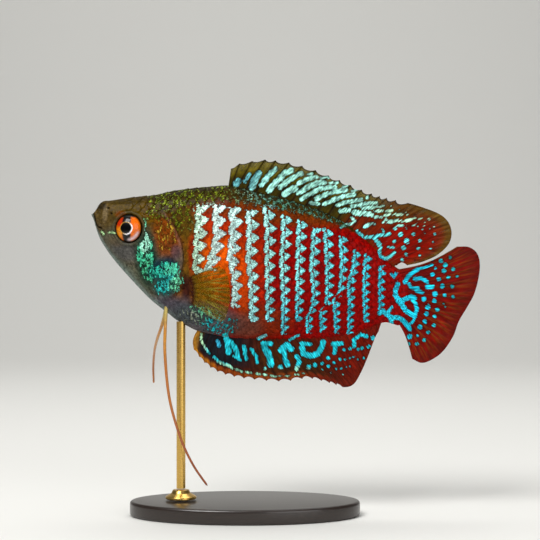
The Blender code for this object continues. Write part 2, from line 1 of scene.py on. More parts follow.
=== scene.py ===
# %% [markdown]
# # A male dwarf gourami, life size, on a display stand
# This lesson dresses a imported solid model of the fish. The solids give the true outline and never change.
# Here they get one smooth skin, overlapping scales, finer fins, painted eyes and a finished stand.
# The frame is loaded first. Its box is kept, so that the dressed fish can be compared with it at the end.

# %% Load the frame
import math

import bpy
import numpy as np
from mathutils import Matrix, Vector


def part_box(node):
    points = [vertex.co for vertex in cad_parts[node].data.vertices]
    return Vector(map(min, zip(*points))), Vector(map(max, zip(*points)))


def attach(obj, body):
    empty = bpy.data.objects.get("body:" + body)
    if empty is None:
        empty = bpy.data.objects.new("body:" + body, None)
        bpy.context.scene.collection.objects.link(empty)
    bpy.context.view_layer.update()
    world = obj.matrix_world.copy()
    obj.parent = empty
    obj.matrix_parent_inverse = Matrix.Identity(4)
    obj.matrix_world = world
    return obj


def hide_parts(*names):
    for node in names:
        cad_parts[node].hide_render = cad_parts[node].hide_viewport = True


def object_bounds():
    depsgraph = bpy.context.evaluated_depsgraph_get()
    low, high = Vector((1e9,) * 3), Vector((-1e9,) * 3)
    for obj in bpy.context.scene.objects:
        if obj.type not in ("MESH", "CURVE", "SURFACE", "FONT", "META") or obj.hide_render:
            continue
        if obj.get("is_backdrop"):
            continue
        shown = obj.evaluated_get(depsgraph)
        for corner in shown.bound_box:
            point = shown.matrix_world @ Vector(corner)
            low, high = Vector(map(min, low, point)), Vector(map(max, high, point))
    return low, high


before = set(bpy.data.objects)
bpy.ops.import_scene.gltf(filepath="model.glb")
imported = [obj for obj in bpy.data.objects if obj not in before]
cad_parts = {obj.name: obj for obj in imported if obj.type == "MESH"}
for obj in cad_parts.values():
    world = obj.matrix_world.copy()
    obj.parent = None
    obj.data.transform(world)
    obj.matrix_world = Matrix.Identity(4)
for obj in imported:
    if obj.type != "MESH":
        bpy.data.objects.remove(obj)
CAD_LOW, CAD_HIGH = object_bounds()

BODY = "root"
MM = 0.001
print("nodes in the frame:", len(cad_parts))

# %% [markdown]
# ## Small helpers
# Every piece needs the same few steps: nothing else selected before an operator runs, an array of points
# read from a mesh or written to it, and a value stored on each point for a material to read.

# %% Helpers for meshes
def start_clean():
    """Leaves edit mode with nothing selected."""
    if bpy.context.object and bpy.context.object.mode != "OBJECT":
        bpy.ops.object.mode_set(mode="OBJECT")
    bpy.ops.object.select_all(action="DESELECT")


def named(name):
    """Names the piece that an operator has just added."""
    piece = bpy.context.object
    piece.name = piece.data.name = name
    return piece


def points_of(piece):
    places = np.zeros(len(piece.data.vertices) * 3)
    piece.data.vertices.foreach_get("co", places)
    return places.reshape(-1, 3)


def set_points(piece, places):
    piece.data.vertices.foreach_set("co", np.asarray(places, float).ravel())
    piece.data.update()


def store(piece, name, values):
    """Keeps a number, or three of them, on every point of a piece."""
    values = np.asarray(values, float)
    if values.ndim == 1:
        piece.data.attributes.new(name, "FLOAT", "POINT").data.foreach_set("value", values)
    else:
        piece.data.attributes.new(name, "FLOAT_VECTOR", "POINT").data.foreach_set("vector", values.ravel())


def store_all(piece, named_values):
    for name, values in named_values.items():
        store(piece, name, values)


def read(piece, name, width=1):
    values = np.zeros(len(piece.data.vertices) * width)
    piece.data.attributes[name].data.foreach_get("value" if width == 1 else "vector", values)
    return values if width == 1 else values.reshape(-1, width)


def select_faces(piece, chosen):
    """Selects the faces whose numbers are true in an array, and enters edit mode."""
    bpy.ops.object.mode_set(mode="OBJECT")
    piece.data.vertices.foreach_set("select", np.zeros(len(piece.data.vertices), bool))
    piece.data.edges.foreach_set("select", np.zeros(len(piece.data.edges), bool))
    piece.data.polygons.foreach_set("select", np.asarray(chosen, bool))
    bpy.ops.object.mode_set(mode="EDIT")
    bpy.ops.mesh.select_mode(type="FACE")


def apply_all(piece):
    bpy.context.view_layer.objects.active = piece
    for modifier in list(piece.modifiers):
        bpy.ops.object.modifier_apply(modifier=modifier.name)


def turn_outwards(piece):
    bpy.context.view_layer.objects.active = piece
    bpy.ops.object.mode_set(mode="EDIT")
    bpy.ops.mesh.select_all(action="SELECT")
    bpy.ops.mesh.normals_make_consistent(inside=False)
    bpy.ops.object.mode_set(mode="OBJECT")


def soften(piece, width, segments):
    """Rounds a piece's sharp edges over, by so many mm."""
    edge = piece.modifiers.new("softened edges", "BEVEL")
    edge.width, edge.segments, edge.limit_method = width * MM, segments, "ANGLE"
    apply_all(piece)


def hand_over(piece, slot, surface, *nodes):
    """Gives a finished piece its material, its body and the solids that it stands for."""
    piece.data.materials.clear()
    piece.data.materials.append(surface)
    piece.data.shade_smooth()
    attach(piece, BODY)
    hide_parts(*nodes)
    triangles = sum(len(face.vertices) - 2 for face in piece.data.polygons)
    print(f"{piece.name}: {triangles} triangles")


# %% [markdown]
# ## Colours
# Painted colours are picked as sRGB hex values, as from a paint chart. The renderer works in linear light,
# so one function turns them. Mixing is done on arrays, one colour for each point.

# %% Colour helpers
def paint(hex_colour):
    """An sRGB hex value as linear red, green and blue."""
    parts = np.array([int(hex_colour[k:k + 2], 16) / 255 for k in (1, 3, 5)])
    return np.where(parts <= 0.04045, parts / 12.92, ((parts + 0.055) / 1.055) ** 2.4)


def washed(colours, hex_colour, share):
    """Lays a wash of one colour over others, by a share from 0 to 1 at each point."""
    share = np.clip(share, 0, 1)[:, None]
    return colours * (1 - share) + paint(hex_colour) * share


def layered(base, *washes):
    """A base colour with washes over it, each a hex value with its share at each point."""
    colours = np.tile(paint(base), (len(washes[0][1]), 1))
    for hex_colour, share in washes:
        colours = washed(colours, hex_colour, share)
    return colours


def fade(value, start, end):
    """0 at start and 1 at end, smoothly, the other way round too."""
    t = np.clip((value - start) / (end - start), 0, 1)
    return t * t * (3 - 2 * t)


def patch(along, up, centre, radii, lean=0.0):
    """1 at the middle of a soft oval patch and 0 past its rim. It leans by so many mm along for each up."""
    d_up = up - centre[1]
    d_along = along - centre[0] - lean * d_up
    return fade(np.hypot(d_along / radii[0], d_up / radii[1]), 1.25, 0.55)


# %% [markdown]
# ## The body's lines
# The body is described in side view: "along" is the distance behind the snout and "up" the height above
# the floor, both in millimetres. The same lines shape the solids, so the skin fits inside them.
# Smooth lines are read between their points with a Hermite curve, for whole arrays at a time.

# %% Smooth lines and paths
SNOUT_X = -30.7  # mm from the middle of the stand base to the jaw tip


def line_at(points, at):
    """The height of a smooth line of (place, value) points at each place."""
    x, y = np.array(points, float).T
    slopes = np.empty(len(x))
    slopes[1:-1] = (y[2:] - y[:-2]) / (x[2:] - x[:-2])
    slopes[0] = (y[1] - y[0]) / (x[1] - x[0])
    slopes[-1] = (y[-1] - y[-2]) / (x[-1] - x[-2])
    at = np.asarray(at, float)
    i = np.clip(np.searchsorted(x, at, side="right") - 1, 0, len(x) - 2)
    span = x[i + 1] - x[i]
    t = np.clip((at - x[i]) / span, 0, 1)
    rise = 3 * t * t - 2 * t ** 3
    bend = slopes[i] * (t - 2 * t * t + t ** 3) + slopes[i + 1] * (t ** 3 - t * t)
    return y[i] + (y[i + 1] - y[i]) * rise + span * bend


def path_at(points, share):
    """Points at shares, 0 to 1, of a smooth path."""
    spots = np.array(points, float)
    spots = np.vstack([2 * spots[0] - spots[1], spots, 2 * spots[-1] - spots[-2]])
    place = np.asarray(share, float) * (len(points) - 1)
    i = np.clip(place.astype(int), 0, len(points) - 2)
    t = (place - i)[:, None]
    a, b = spots[i + 1], spots[i + 2]
    start, end = (b - spots[i]) / 2, (spots[i + 3] - a) / 2
    return (
        a * (1 + 2 * t) * (1 - t) ** 2 + b * t * t * (3 - 2 * t)
        + start * t * (1 - t) ** 2 - end * t * t * (1 - t)
    )


def in_row(along, side, up):
    """Places on the fish in mm, as points in metres."""
    return np.column_stack([along + SNOUT_X, side, up]) * MM


def from_line(along, up, line):
    """The distance from places to a line, and on which side of it they are: above or ahead is positive."""
    here = np.column_stack([along, up])
    nearest, side = np.full(len(here), 1e9), np.ones(len(here))
    for a, b in zip(line[:-1], line[1:]):
        run = b - a
        share = np.clip(((here - a) @ run) / (run @ run), 0, 1)
        gap = here - a - share[:, None] * run
        length = np.hypot(*gap.T)
        closer = length < nearest
        nearest[closer] = length[closer]
        side[closer] = np.sign(gap[closer, 1] * run[0] - gap[closer, 0] * run[1])
    return nearest, side


# %% The body's outline and section
BACK_LINE = [
    (0.0, 60.25), (0.5, 60.6), (1.0, 61.3), (1.6, 62.3), (2.5, 62.9), (3.7, 63.0), (5.7, 63.3),
    (8.7, 63.7), (12.7, 64.1), (16.7, 65.0), (19.7, 65.4), (23.7, 65.8), (27.7, 66.0), (31.7, 65.1),
    (35.7, 64.1), (39.7, 63.1), (43.7, 61.8), (47.7, 60.2), (51.7, 57.8), (55.7, 54.6), (58.5, 51.6),
    (61.3, 49.4),
]
BELLY_LINE = [
    (0.0, 59.95), (0.5, 58.8), (0.9, 57.4), (1.5, 55.6), (2.3, 54.1), (3.7, 52.0), (5.7, 49.5),
    (8.7, 46.2), (11.7, 43.1), (14.7, 40.7), (17.7, 38.5), (21.7, 36.6), (27.7, 35.4), (33.7, 35.0),
    (39.7, 34.9), (45.7, 35.0), (50.7, 35.6), (54.7, 36.9), (58.5, 38.4), (61.3, 37.8),
]
HALF_WIDTH = [
    (0.0, 0.5), (0.5, 1.1), (1.1, 1.55), (2.3, 2.1), (3.7, 2.6), (5.7, 3.15), (8.7, 3.7), (11.7, 4.2),
    (14.7, 4.65), (17.7, 4.95), (21.7, 5.2), (27.7, 5.3), (33.7, 5.05), (39.7, 4.5), (45.7, 3.8),
    (51.7, 2.85), (55.7, 2.15), (58.5, 1.55), (61.3, 0.85),
]
WIDEST_LEVEL = [(0.0, 1.0), (4.0, 0.9), (12.0, 0.85), (22.0, 0.98), (34.0, 0.9), (46.0, 0.88), (61.3, 1.0)]
BACK_KEEL = [(0.0, 0.5), (12.0, 0.5), (22.0, 0.6), (34.0, 0.66), (46.0, 0.7), (61.3, 0.6)]
BELLY_KEEL = [(0.0, 0.5), (4.0, 0.62), (12.0, 0.7), (22.0, 0.6), (34.0, 0.75), (46.0, 0.85), (61.3, 0.6)]
BODY_END, STALK_CAP = 61.3, 2.2  # mm: where the body ends, and how far its rounded end reaches into the tail
SCALE_DEPTH = 0.12  # mm that the skin lies inside the solids, which the scales fill


def half_width(along, level):
    """Half the body's width at a level, 0 at the back and 1 at the belly."""
    keel = line_at(BACK_KEEL, along) * (1 - level) + line_at(BELLY_KEEL, along) * level
    swell = np.sin(np.pi * level ** line_at(WIDEST_LEVEL, along))
    return line_at(HALF_WIDTH, along) * np.maximum(swell, 0) ** keel


def side_of(along, up):
    """Half the body's width at a place in side view."""
    top, bottom = line_at(BACK_LINE, along), line_at(BELLY_LINE, along)
    return half_width(along, np.clip((top - up) / (top - bottom), 0, 1))


print("widest half of the body, mm:", round(float(half_width(np.array([27.7]), np.array([0.5]))[0]), 2))

# %% [markdown]
# ## The head's relief
# A fish's head is a hard mask under thin skin: lips rolled round a slit, two nostril pits a side, a ring of
# lid round the eye, the bony edge of the cheek, and the free edge of the gill cover standing off the body.
# Each of them is a height that is added to the skin, as a function of the place in side view.

# %% Lines and sizes of the head
EYE_ALONG, EYE_UP = 7.8, 57.2
EYE_HALF_LENGTH, EYE_HALF_HEIGHT, EYE_HALF_DEPTH = 2.7, 2.85, 1.75
EYE_STANDS_OUT = 0.7
MOUTH = path_at([(-0.6, 60.6), (0.45, 60.2), (0.85, 59.3), (1.1, 58.3), (1.5, 57.6), (2.2, 57.35)],
                np.linspace(0, 1, 24))
JAW_BACK = path_at([(2.2, 57.35), (2.75, 56.2), (3.0, 54.6), (3.2, 52.5)], np.linspace(0, 1, 12))
SNOUT_FOLD = path_at([(1.7, 61.7), (2.15, 60.2), (2.35, 58.9), (2.2, 57.6)], np.linspace(0, 1, 12))
GILL = path_at([
    (12.6, 68.0), (13.4, 64.0), (15.0, 60.6), (16.8, 57.6), (18.2, 54.4), (18.6, 51.2), (18.1, 48.4),
    (17.6, 46.0), (16.2, 43.9), (14.2, 42.6), (12.6, 41.3), (11.0, 38.0),
], np.linspace(0, 1, 60))
CHEEK_EDGE = path_at([(11.3, 59.6), (12.5, 57.0), (13.0, 53.6), (12.6, 50.4), (11.2, 48.1), (9.2, 46.6)],
                     np.linspace(0, 1, 30))
NOSTRILS = [(3.55, 61.3), (4.25, 60.2)]
NOSTRIL_RADIUS = 0.26
FLAP_HEIGHT, FLAP_LENGTH = 0.36, 2.6
EDGE_FADE = 0.8


def from_eye(along, up):
    """Distance in mm outside the eye's oval, negative inside it."""
    mean = (EYE_HALF_LENGTH + EYE_HALF_HEIGHT) / 2
    return mean * (np.hypot((along - EYE_ALONG) / EYE_HALF_LENGTH, (up - EYE_UP) / EYE_HALF_HEIGHT) - 1)


def bump(distance, middle, width):
    return np.exp(-(((distance - middle) / width) ** 2))


def head_relief(along, up, gill_flap=True):
    """Millimetres that the skin stands out from the plain body."""
    height = np.zeros(len(along))
    front = along < 22
    a, u = along[front], up[front]
    gap, ahead = from_line(a, u, GILL)
    signed = -gap * ahead
    near = np.clip(1 - signed / FLAP_LENGTH, 0, 1)
    flap = FLAP_HEIGHT * near * near * (3 - 2 * near)
    part = np.where(signed > 0, flap, FLAP_HEIGHT * np.clip(1 + signed / 0.16, 0, 1))
    part = part * gill_flap * fade(u, 61.4, 58.4)
    gap, ahead = from_line(a, u, CHEEK_EDGE)
    signed = -gap * ahead
    part += 0.16 * np.where(signed > 0, np.clip(1 - signed / 1.6, 0, 1) ** 2, np.clip(1 + signed / 0.3, 0, 1))
    ring = from_eye(a, u)
    part += 0.34 * bump(ring, 0.36, 0.26) + 0.05 * bump(ring, 0.98, 0.16) - 0.1 * bump(ring, 0.74, 0.14)
    part -= 1.9 * fade(ring, 0.12, -0.3)
    gap = from_line(a, u, MOUTH)[0]
    part += 0.24 * bump(gap, 0.36, 0.22) - 0.42 * bump(gap, 0.0, 0.1)
    for crease, deep, wide in ((JAW_BACK, 0.14, 0.14), (SNOUT_FOLD, 0.1, 0.13)):
        part -= deep * bump(from_line(a, u, crease)[0], 0.0, wide)
    for spot in NOSTRILS:
        away = np.hypot(a - spot[0], u - spot[1])
        part += 0.1 * bump(away, NOSTRIL_RADIUS + 0.12, 0.1) - 0.4 * bump(away, 0.0, NOSTRIL_RADIUS * 0.75)
    height[front] = part
    return height


# %% [markdown]
# ## One skin
# The skin could be extruded ring by ring, but a fish's section changes all the way along, so each ring would
# need its own hand. Instead a flat grid is added and made finer where the eye and the mouth come, and then
# it is wrapped: across the grid is the distance behind the snout, up the grid is the turn round the body.
# The same wrap later places every scale, and the flat grid itself is the unwrap for the baked colours.

# %% The wrap from grid to body
HEAD_END, HEAD_STEP, TRUNK_STEP = 20.0, 0.17, 0.42  # mm
STATIONS = np.concatenate([
    np.arange(0.0, HEAD_END, HEAD_STEP),
    np.arange(HEAD_END, BODY_END, TRUNK_STEP),
    BODY_END + STALK_CAP * np.sin(np.linspace(0, 0.49, 12) * np.pi),
])
AROUND = 176


def skin_point(along, turn, relief=True):
    """Points of the skin in mm, as (along, side, up). The left side comes first in a turn from the back."""
    level = (1 - np.cos(turn)) / 2
    on_body = np.minimum(along, BODY_END)
    top = line_at(BACK_LINE, on_body) - SCALE_DEPTH
    bottom = line_at(BELLY_LINE, on_body) + SCALE_DEPTH
    half = np.maximum(half_width(on_body, level) - SCALE_DEPTH * np.sin(turn) ** 2, 0)
    squeeze = np.sqrt(np.clip(1 - ((along - on_body) / STALK_CAP) ** 2, 0, 1))
    middle = (top + bottom) / 2
    up = middle + (top - middle) * squeeze + (bottom - top) * level * squeeze
    half = half * squeeze
    if relief:
        half = half + head_relief(along, up) * np.minimum(1, half / EDGE_FADE)
    return along, np.where(turn < np.pi, -half, half), up


# %% The flat grid, finer at the eye and the mouth
start_clean()
bpy.ops.mesh.primitive_grid_add(x_subdivisions=len(STATIONS) - 1, y_subdivisions=AROUND, size=1)
skin = named("skin")
GRID_LINES = np.linspace(-0.5, 0.5, len(STATIONS))


def along_of(grid_x):
    return np.interp(grid_x, GRID_LINES, STATIONS)


def turn_of(grid_y):
    return (grid_y + 0.5) * 2 * np.pi


centres = np.zeros(len(skin.data.polygons) * 3)
skin.data.polygons.foreach_get("center", centres)
centres = centres.reshape(-1, 3)
c_along, _, c_up = skin_point(along_of(centres[:, 0]), turn_of(centres[:, 1]), relief=False)
mouth_gap = from_line(c_along, c_up, MOUTH)[0]
eye_gap = from_eye(c_along, c_up)
fine = ((eye_gap < 1.3) & (eye_gap > -1.1)) | ((mouth_gap < 1.1) & (c_along < 3.4))
select_faces(skin, fine)
bpy.ops.mesh.subdivide(number_cuts=1)
bpy.ops.object.mode_set(mode="OBJECT")
print("skin faces:", len(skin.data.polygons), "of which made finer:", int(fine.sum()))

# %% Wrap it round the fish and close it
flat = points_of(skin)
skin.data.uv_layers[0].name = "OFBake"
store(skin, "grid", flat)
set_points(skin, in_row(*skin_point(along_of(flat[:, 0]), turn_of(flat[:, 1]))))
bpy.ops.object.mode_set(mode="EDIT")
bpy.ops.mesh.select_all(action="SELECT")
bpy.ops.mesh.remove_doubles(threshold=2e-6)
bpy.ops.mesh.select_all(action="DESELECT")
bpy.ops.mesh.select_mode(type="EDGE")
bpy.ops.mesh.select_non_manifold()
bpy.ops.mesh.edge_face_add()
bpy.ops.object.mode_set(mode="OBJECT")
turn_outwards(skin)
skin_grid = read(skin, "grid", 3)
skin.data.attributes.remove(skin.data.attributes["grid"])
skin_places = points_of(skin) / MM
skin_along, skin_up = skin_places[:, 0] - SNOUT_X, skin_places[:, 2]
print("skin points:", len(skin_places))

# %% [markdown]
# ## A chart of the skin
# The markings and the scales both need to know how far a place is round the side, from back to belly. So one
# side of the skin is measured at many stations. The chart gives the point on the skin for a station and a
# share of the way round, and the share for a turn, so every scale bends with the body under it.

# %% The chart of one side
CHART_ALONG = np.linspace(0.3, 62.6, 420)
CHART_TURN = np.linspace(0, np.pi, 361)
CHART_SHARE = np.linspace(0, 1, 321)


def make_chart(gill_flap):
    """Skin points of the left side and the shares round it, on a grid of stations."""
    grid_a, grid_t = np.meshgrid(CHART_ALONG, CHART_TURN, indexing="ij")
    a, s, u = skin_point(grid_a.ravel(), grid_t.ravel() * 0.99999, relief=False)
    lift = head_relief(a, u, gill_flap) * np.minimum(1, -s / EDGE_FADE)
    s = np.where(from_eye(a, u) < 0.3, s, s - lift)
    spots = np.stack([a, s, u], axis=1).reshape(*grid_a.shape, 3)
    steps = np.linalg.norm(np.diff(spots[:, :, 1:], axis=1), axis=2)
    walked = np.concatenate([np.zeros((len(spots), 1)), np.cumsum(steps, axis=1)], axis=1)
    girth = walked[:, -1]
    even = np.empty((len(spots), len(CHART_SHARE), 3))
    turns = np.empty((len(spots), len(CHART_SHARE)))
    for k, way in enumerate(walked / girth[:, None]):
        turns[k] = np.interp(CHART_SHARE, way, CHART_TURN)
        for axis in range(3):
            even[k, :, axis] = np.interp(CHART_SHARE, way, spots[k, :, axis])
    facing = np.cross(np.gradient(even, axis=1), np.gradient(even, axis=0))
    facing /= np.linalg.norm(facing, axis=2, keepdims=True) + 1e-12
    if facing[200, 160, 1] > 0:
        facing = -facing
    return even, facing, turns, walked / girth[:, None], girth


cheek_chart, cheek_facing, chart_turns, chart_shares, chart_girth = make_chart(gill_flap=True)
flank_chart, flank_facing = make_chart(gill_flap=False)[:2]


def read_chart(table, along, share):
    """Values of a chart table between its grid points."""
    i = np.clip((along - CHART_ALONG[0]) / (CHART_ALONG[1] - CHART_ALONG[0]), 0, len(CHART_ALONG) - 1.001)
    j = np.clip(share, 0, 1) * (table.shape[1] - 1.001)
    i0, j0 = i.astype(int), j.astype(int)
    fi, fj = i - i0, j - j0
    if table.ndim == 3:
        fi, fj = fi[:, None], fj[:, None]
    near = table[i0, j0] * (1 - fj) + table[i0, j0 + 1] * fj
    far = table[i0 + 1, j0] * (1 - fj) + table[i0 + 1, j0 + 1] * fj
    return near * (1 - fi) + far * fi


def girth_at(along):
    return np.interp(along, CHART_ALONG, chart_girth)


print("girth of one side at 30 mm:", round(float(girth_at(30.0)), 1), "mm")

# %% [markdown]
# ## The markings
# A male's flanks are red, crossed by bars of turquoise. Each bar has two strands: on its front edge a chain
# of leaning strokes, and behind it a row of teeth. Both sit on the scales: the teeth on every second row,
# the strokes on the rows between. So the bars are given as lines, and the rows of scales decide where a
# tooth falls. The places are read in side view. The flank is 5 mm nearer to the eye than the fish's middle
# plane, so the places on it are drawn in a little towards the middle of the view.

# %% The bars
VIEW_MIDDLE = np.array([35.7, 49.0])  # mm along and up, where the side view is centred
FLANK_NEARER = 0.983


def on_flank(places):
    return VIEW_MIDDLE + (np.array(places) - VIEW_MIDDLE) * FLANK_NEARER


# Each bar's line, along and up by turns, from the top down. The first six and the last two only space the
# scales.
BAR_LINES = [
    (2, 64, 2, 44), (5.2, 64, 5, 44), (8.4, 64, 8.1, 44), (11.7, 64, 11.4, 44), (15.2, 64, 14.7, 46),
    (18.6, 63, 18.1, 47), (22.1, 62.4, 21.9, 58, 21.4, 52, 21.2, 48.2),
    (25.6, 62.4, 25.4, 58.6, 25.6, 56.4, 24.9, 52.6, 24.1, 50.2, 23.7, 48.6),
    (28.6, 61.9, 28.9, 58.6, 28.6, 54, 28.2, 50.8, 28.7, 48.6, 28.9, 45.4, 28.6, 41.2),
    (31.9, 61.4, 32.3, 58, 31.9, 51, 32.4, 47, 32.3, 38.2),
    (35.4, 62, 35.8, 57, 35.6, 53, 35.7, 46, 35.6, 38.2), (39, 60.4, 39, 56, 38.6, 51, 38.8, 43, 38.6, 35.6),
    (42.2, 59.4, 41.8, 51.3, 41.7, 46, 41.5, 38.2),
    (45.2, 57.8, 44.5, 49.5, 44.9, 44.2, 44.5, 41.1, 43.6, 39.4, 43.7, 35.8),
    (47.4, 57.8, 47.6, 49.5, 47.6, 44.2, 47.4, 42.2, 46.3, 40.6, 46.4, 36),
    (50.4, 56.2, 50.6, 51.3, 50.4, 46.8, 50.1, 44.5, 49, 43, 49.3, 35.8),
    (53.4, 53.4, 52.9, 49.6, 52.1, 46.5, 52, 42.4, 51.8, 35.4),
    (55.6, 52.6, 55.1, 48.6, 54.9, 44.2, 55.1, 38), (58.4, 50.2, 58.1, 46, 58.1, 40.2), (61.4, 49, 61.2, 42),
    (64.4, 49, 64.2, 42),
]
FIRST_BAR, LAST_BAR = 6, 18
BARS = [on_flank(np.reshape(line, (-1, 2))) for line in BAR_LINES]
BAR_TOPS, BAR_LOWS = np.array([[bar[0, 1], bar[-1, 1]] for bar in BARS]).T
ROW_HEIGHT = [(3.0, 1.0), (10.0, 1.1), (20.0, 1.22), (30.0, 1.24), (36.0, 1.2), (42.0, 1.08), (48.0, 0.98),
              (55.0, 0.82), (61.3, 0.76)]
ROW_NARROWING = 0.009  # how much closer each row is than the one above it
TOOTH_BEHIND = 0.13  # share of the bar spacing from a bar's middle back to its teeth
GAP_AHEAD = 0.65  # share of the bar spacing ahead of the teeth, where one bar's room ends


def bar_phase(along, up):
    """Which bar a place is at, whole numbers on the teeth and shares between them, and the spacing in mm."""
    lines = np.array([np.interp(up, bar[::-1, 1], bar[::-1, 0]) for bar in BARS])
    phase, pitch = np.zeros(len(along)), np.full(len(along), 3.2)
    for k in range(len(BARS) - 1):
        inside = along >= lines[k]
        space = lines[k + 1] - lines[k]
        phase = np.where(inside, k + np.minimum((along - lines[k]) / space, 1), phase)
        pitch = np.where(inside, space, pitch)
    return phase - TOOTH_BEHIND, pitch


def row_of(along, share):
    """The row of scales that a place is in, 0 at the middle of the side, and that row's height."""
    height = line_at(ROW_HEIGHT, along)
    down = (share - 0.5) * girth_at(along) / height
    row = (1 - np.sqrt(np.maximum(1 - 4 * ROW_NARROWING * down, 0.02))) / (2 * ROW_NARROWING)
    return row, height * (1 - 2 * ROW_NARROWING * row)


# %% [markdown]
# The fins carry streaks and spots of the same turquoise, and some of them run on over the body. Each is a
# half width and then the places, along and up by turns, that it runs through in side view, all in
# millimetres.

# %% Streaks and spots
DORSAL_STREAKS = [
    (0.61, 28.8, 66.1, 29.4, 66.8), (0.4, 30.7, 66.7, 31.6, 68.1), (0.69, 32, 65.5, 32.5, 66.7, 33.4, 68.3),
    (0.54, 34, 66, 35.3, 67.8, 36.8, 69.2), (0.62, 35.5, 64.9, 36.8, 66.5, 38.6, 68.3, 39.9, 68.9),
    (0.52, 37.7, 65.5, 39.4, 66.9, 41.2, 68, 42, 68.3), (0.66, 38.6, 64.2, 39.9, 65, 40.7, 65.4),
    (0.46, 41.4, 66.3, 42.9, 67.1, 44.9, 67.6), (0.54, 41.4, 64.4, 43.1, 65.5, 45.1, 66.4, 46.6, 66.5),
    (0.48, 42, 63.2, 43.6, 64.1, 45.3, 65.1, 47.5, 65.6, 48.8, 65.5),
    (0.48, 44.9, 63.2, 46.6, 64, 48.6, 64.7, 50.9, 65),
    (0.46, 46.6, 62.2, 48.1, 62.9, 50.3, 63.7, 52.5, 64.1), (0.41, 43.8, 62.4, 45.3, 62.2),
    (0.41, 49.1, 61.9, 50.7, 62.5, 52.7, 62.9, 54, 63.1), (0.37, 52.1, 61.7, 53.5, 62, 55.5, 62.4, 57, 62.4),
    (0.26, 43.3, 68.1, 44.2, 68.3), (0.28, 45.7, 67.4, 47.3, 67.5), (0.26, 47.7, 66.4, 49.2, 66.5),
    (0.22, 50.3, 65.6, 51.2, 65.8), (0.22, 52, 64.8, 53.1, 65), (0.39, 54.2, 61.3, 56.4, 61.6),
    (0.28, 56.8, 61.6, 58.4, 61.8), (0.34, 56.6, 60.8, 58.2, 60.8), (0.3, 58.7, 60.8, 60.1, 60.9),
    (0.37, 60.6, 60.2, 62, 60.1), (0.3, 64.6, 59.3, 66.1, 59.3), (0.53, 49.9, 60.8, 51.4, 61),
    (0.6, 52.6, 60.5, 53.8, 60.3), (0.55, 54.7, 60.3, 56, 60.1), (0.41, 56.9, 59.5, 57.8, 59.6),
    (0.3, 58.7, 59.9, 59.9, 60), (0.48, 58.9, 59, 59.9, 58.7), (0.41, 60.8, 58.9, 62.1, 58.8),
    (0.39, 62.9, 58.9, 64, 59), (0.28, 61.2, 57.9, 62.2, 57.9), (0.25, 63.2, 57.9, 64.5, 58),
    (0.3, 49.7, 57.5, 50.7, 57.9, 52, 58.3, 52.7, 58.7, 52, 59.5), (0.39, 54.6, 57.7, 55.4, 58, 56.5, 58.3),
    (0.37, 53.1, 56.7, 53.7, 56.2, 54.5, 55.6, 55.8, 55.5, 56.8, 55.4),
    (0.39, 56.4, 55.7, 57.7, 55.9, 59.6, 56.2),
    (0.37, 56.8, 55.1, 57.5, 54.3, 57.8, 53.8, 57.6, 52.6, 57.8, 51.7, 58.9, 51.2, 59.8, 51.7, 60.5, 52.4),
    (0.5, 57, 54.9, 57.6, 54), (0.28, 59.3, 53.6, 60.4, 53.5), (0.23, 58.1, 57.2, 58.4, 56.7),
    (0.3, 59.9, 48.2, 60.4, 47.6, 61, 48.5, 61.8, 49),
]
DORSAL_SPOTS = [
    (0.39, 55.2, 63.5), (0.23, 58.3, 62.7), (0.32, 59.8, 61.9), (0.3, 61.5, 61.1), (0.28, 64.4, 60.2),
    (0.46, 63.1, 60.2), (0.34, 67.5, 59.1), (0.39, 58.5, 58.5), (0.44, 60.6, 57.4), (0.39, 62.9, 57.5),
    (0.18, 65.1, 58.4), (0.25, 66.7, 58.4), (0.21, 65.3, 57.7), (0.23, 66.5, 57.8), (0.18, 68.5, 58.3),
    (0.18, 68.5, 57.6), (0.21, 67.7, 57.1), (0.18, 66.1, 57.2), (0.55, 61.8, 56.1), (0.46, 64.3, 56.3),
    (0.32, 66.6, 56.4), (0.3, 68.6, 56.2), (0.44, 60.6, 54.7), (0.57, 63, 54.8), (0.39, 65.7, 54.8),
    (0.37, 68.3, 54.7), (0.5, 62.4, 53.4), (0.37, 65.3, 53.3), (0.34, 67.8, 53.2), (0.41, 62.9, 52.1),
    (0.34, 65.6, 51.8), (0.21, 64.7, 51.1), (0.34, 62.1, 51),
]
TAIL_STREAKS = [
    (0.44, 62.6, 46.6, 63.2, 47.6, 64.2, 48.5, 65.3, 49.2), (0.28, 65.3, 49.2, 66.7, 49.5, 68.1, 50.1),
    (0.41, 64.6, 47.2, 65.8, 47.4, 66.5, 47.1, 67.1, 46.6), (0.37, 63.5, 46.2, 63.9, 45.4, 65.3, 45.4),
    (0.37, 65, 44.8, 66.2, 44.5),
    (0.48, 61.2, 46.2, 60.7, 45, 60.7, 43.9, 61.4, 43, 62.3, 43, 63.9, 43.7, 64.6, 43.4),
    (0.53, 61.2, 43, 62.1, 42, 62.8, 40.9, 63.9, 40.2, 64.6, 39.8),
    (0.39, 64.2, 43, 64.8, 42.3, 65.1, 41.1, 64.6, 40), (0.28, 64.6, 39.8, 64.4, 38.8, 63.8, 38.3),
    (0.48, 57.5, 40.4, 58.2, 40.9, 58.9, 40.2, 59.8, 39.5, 61.2, 39.5, 62.1, 39.1, 63, 38.1, 63.7, 37.2),
    (0.34, 58.9, 40.2, 60, 41.6), (0.44, 59.8, 39.5, 60, 38.4),
    (0.34, 60.3, 37.2, 61.2, 37, 61.9, 36.1, 62.3, 35.6), (0.44, 67.1, 45.6, 68.2, 45.7),
]
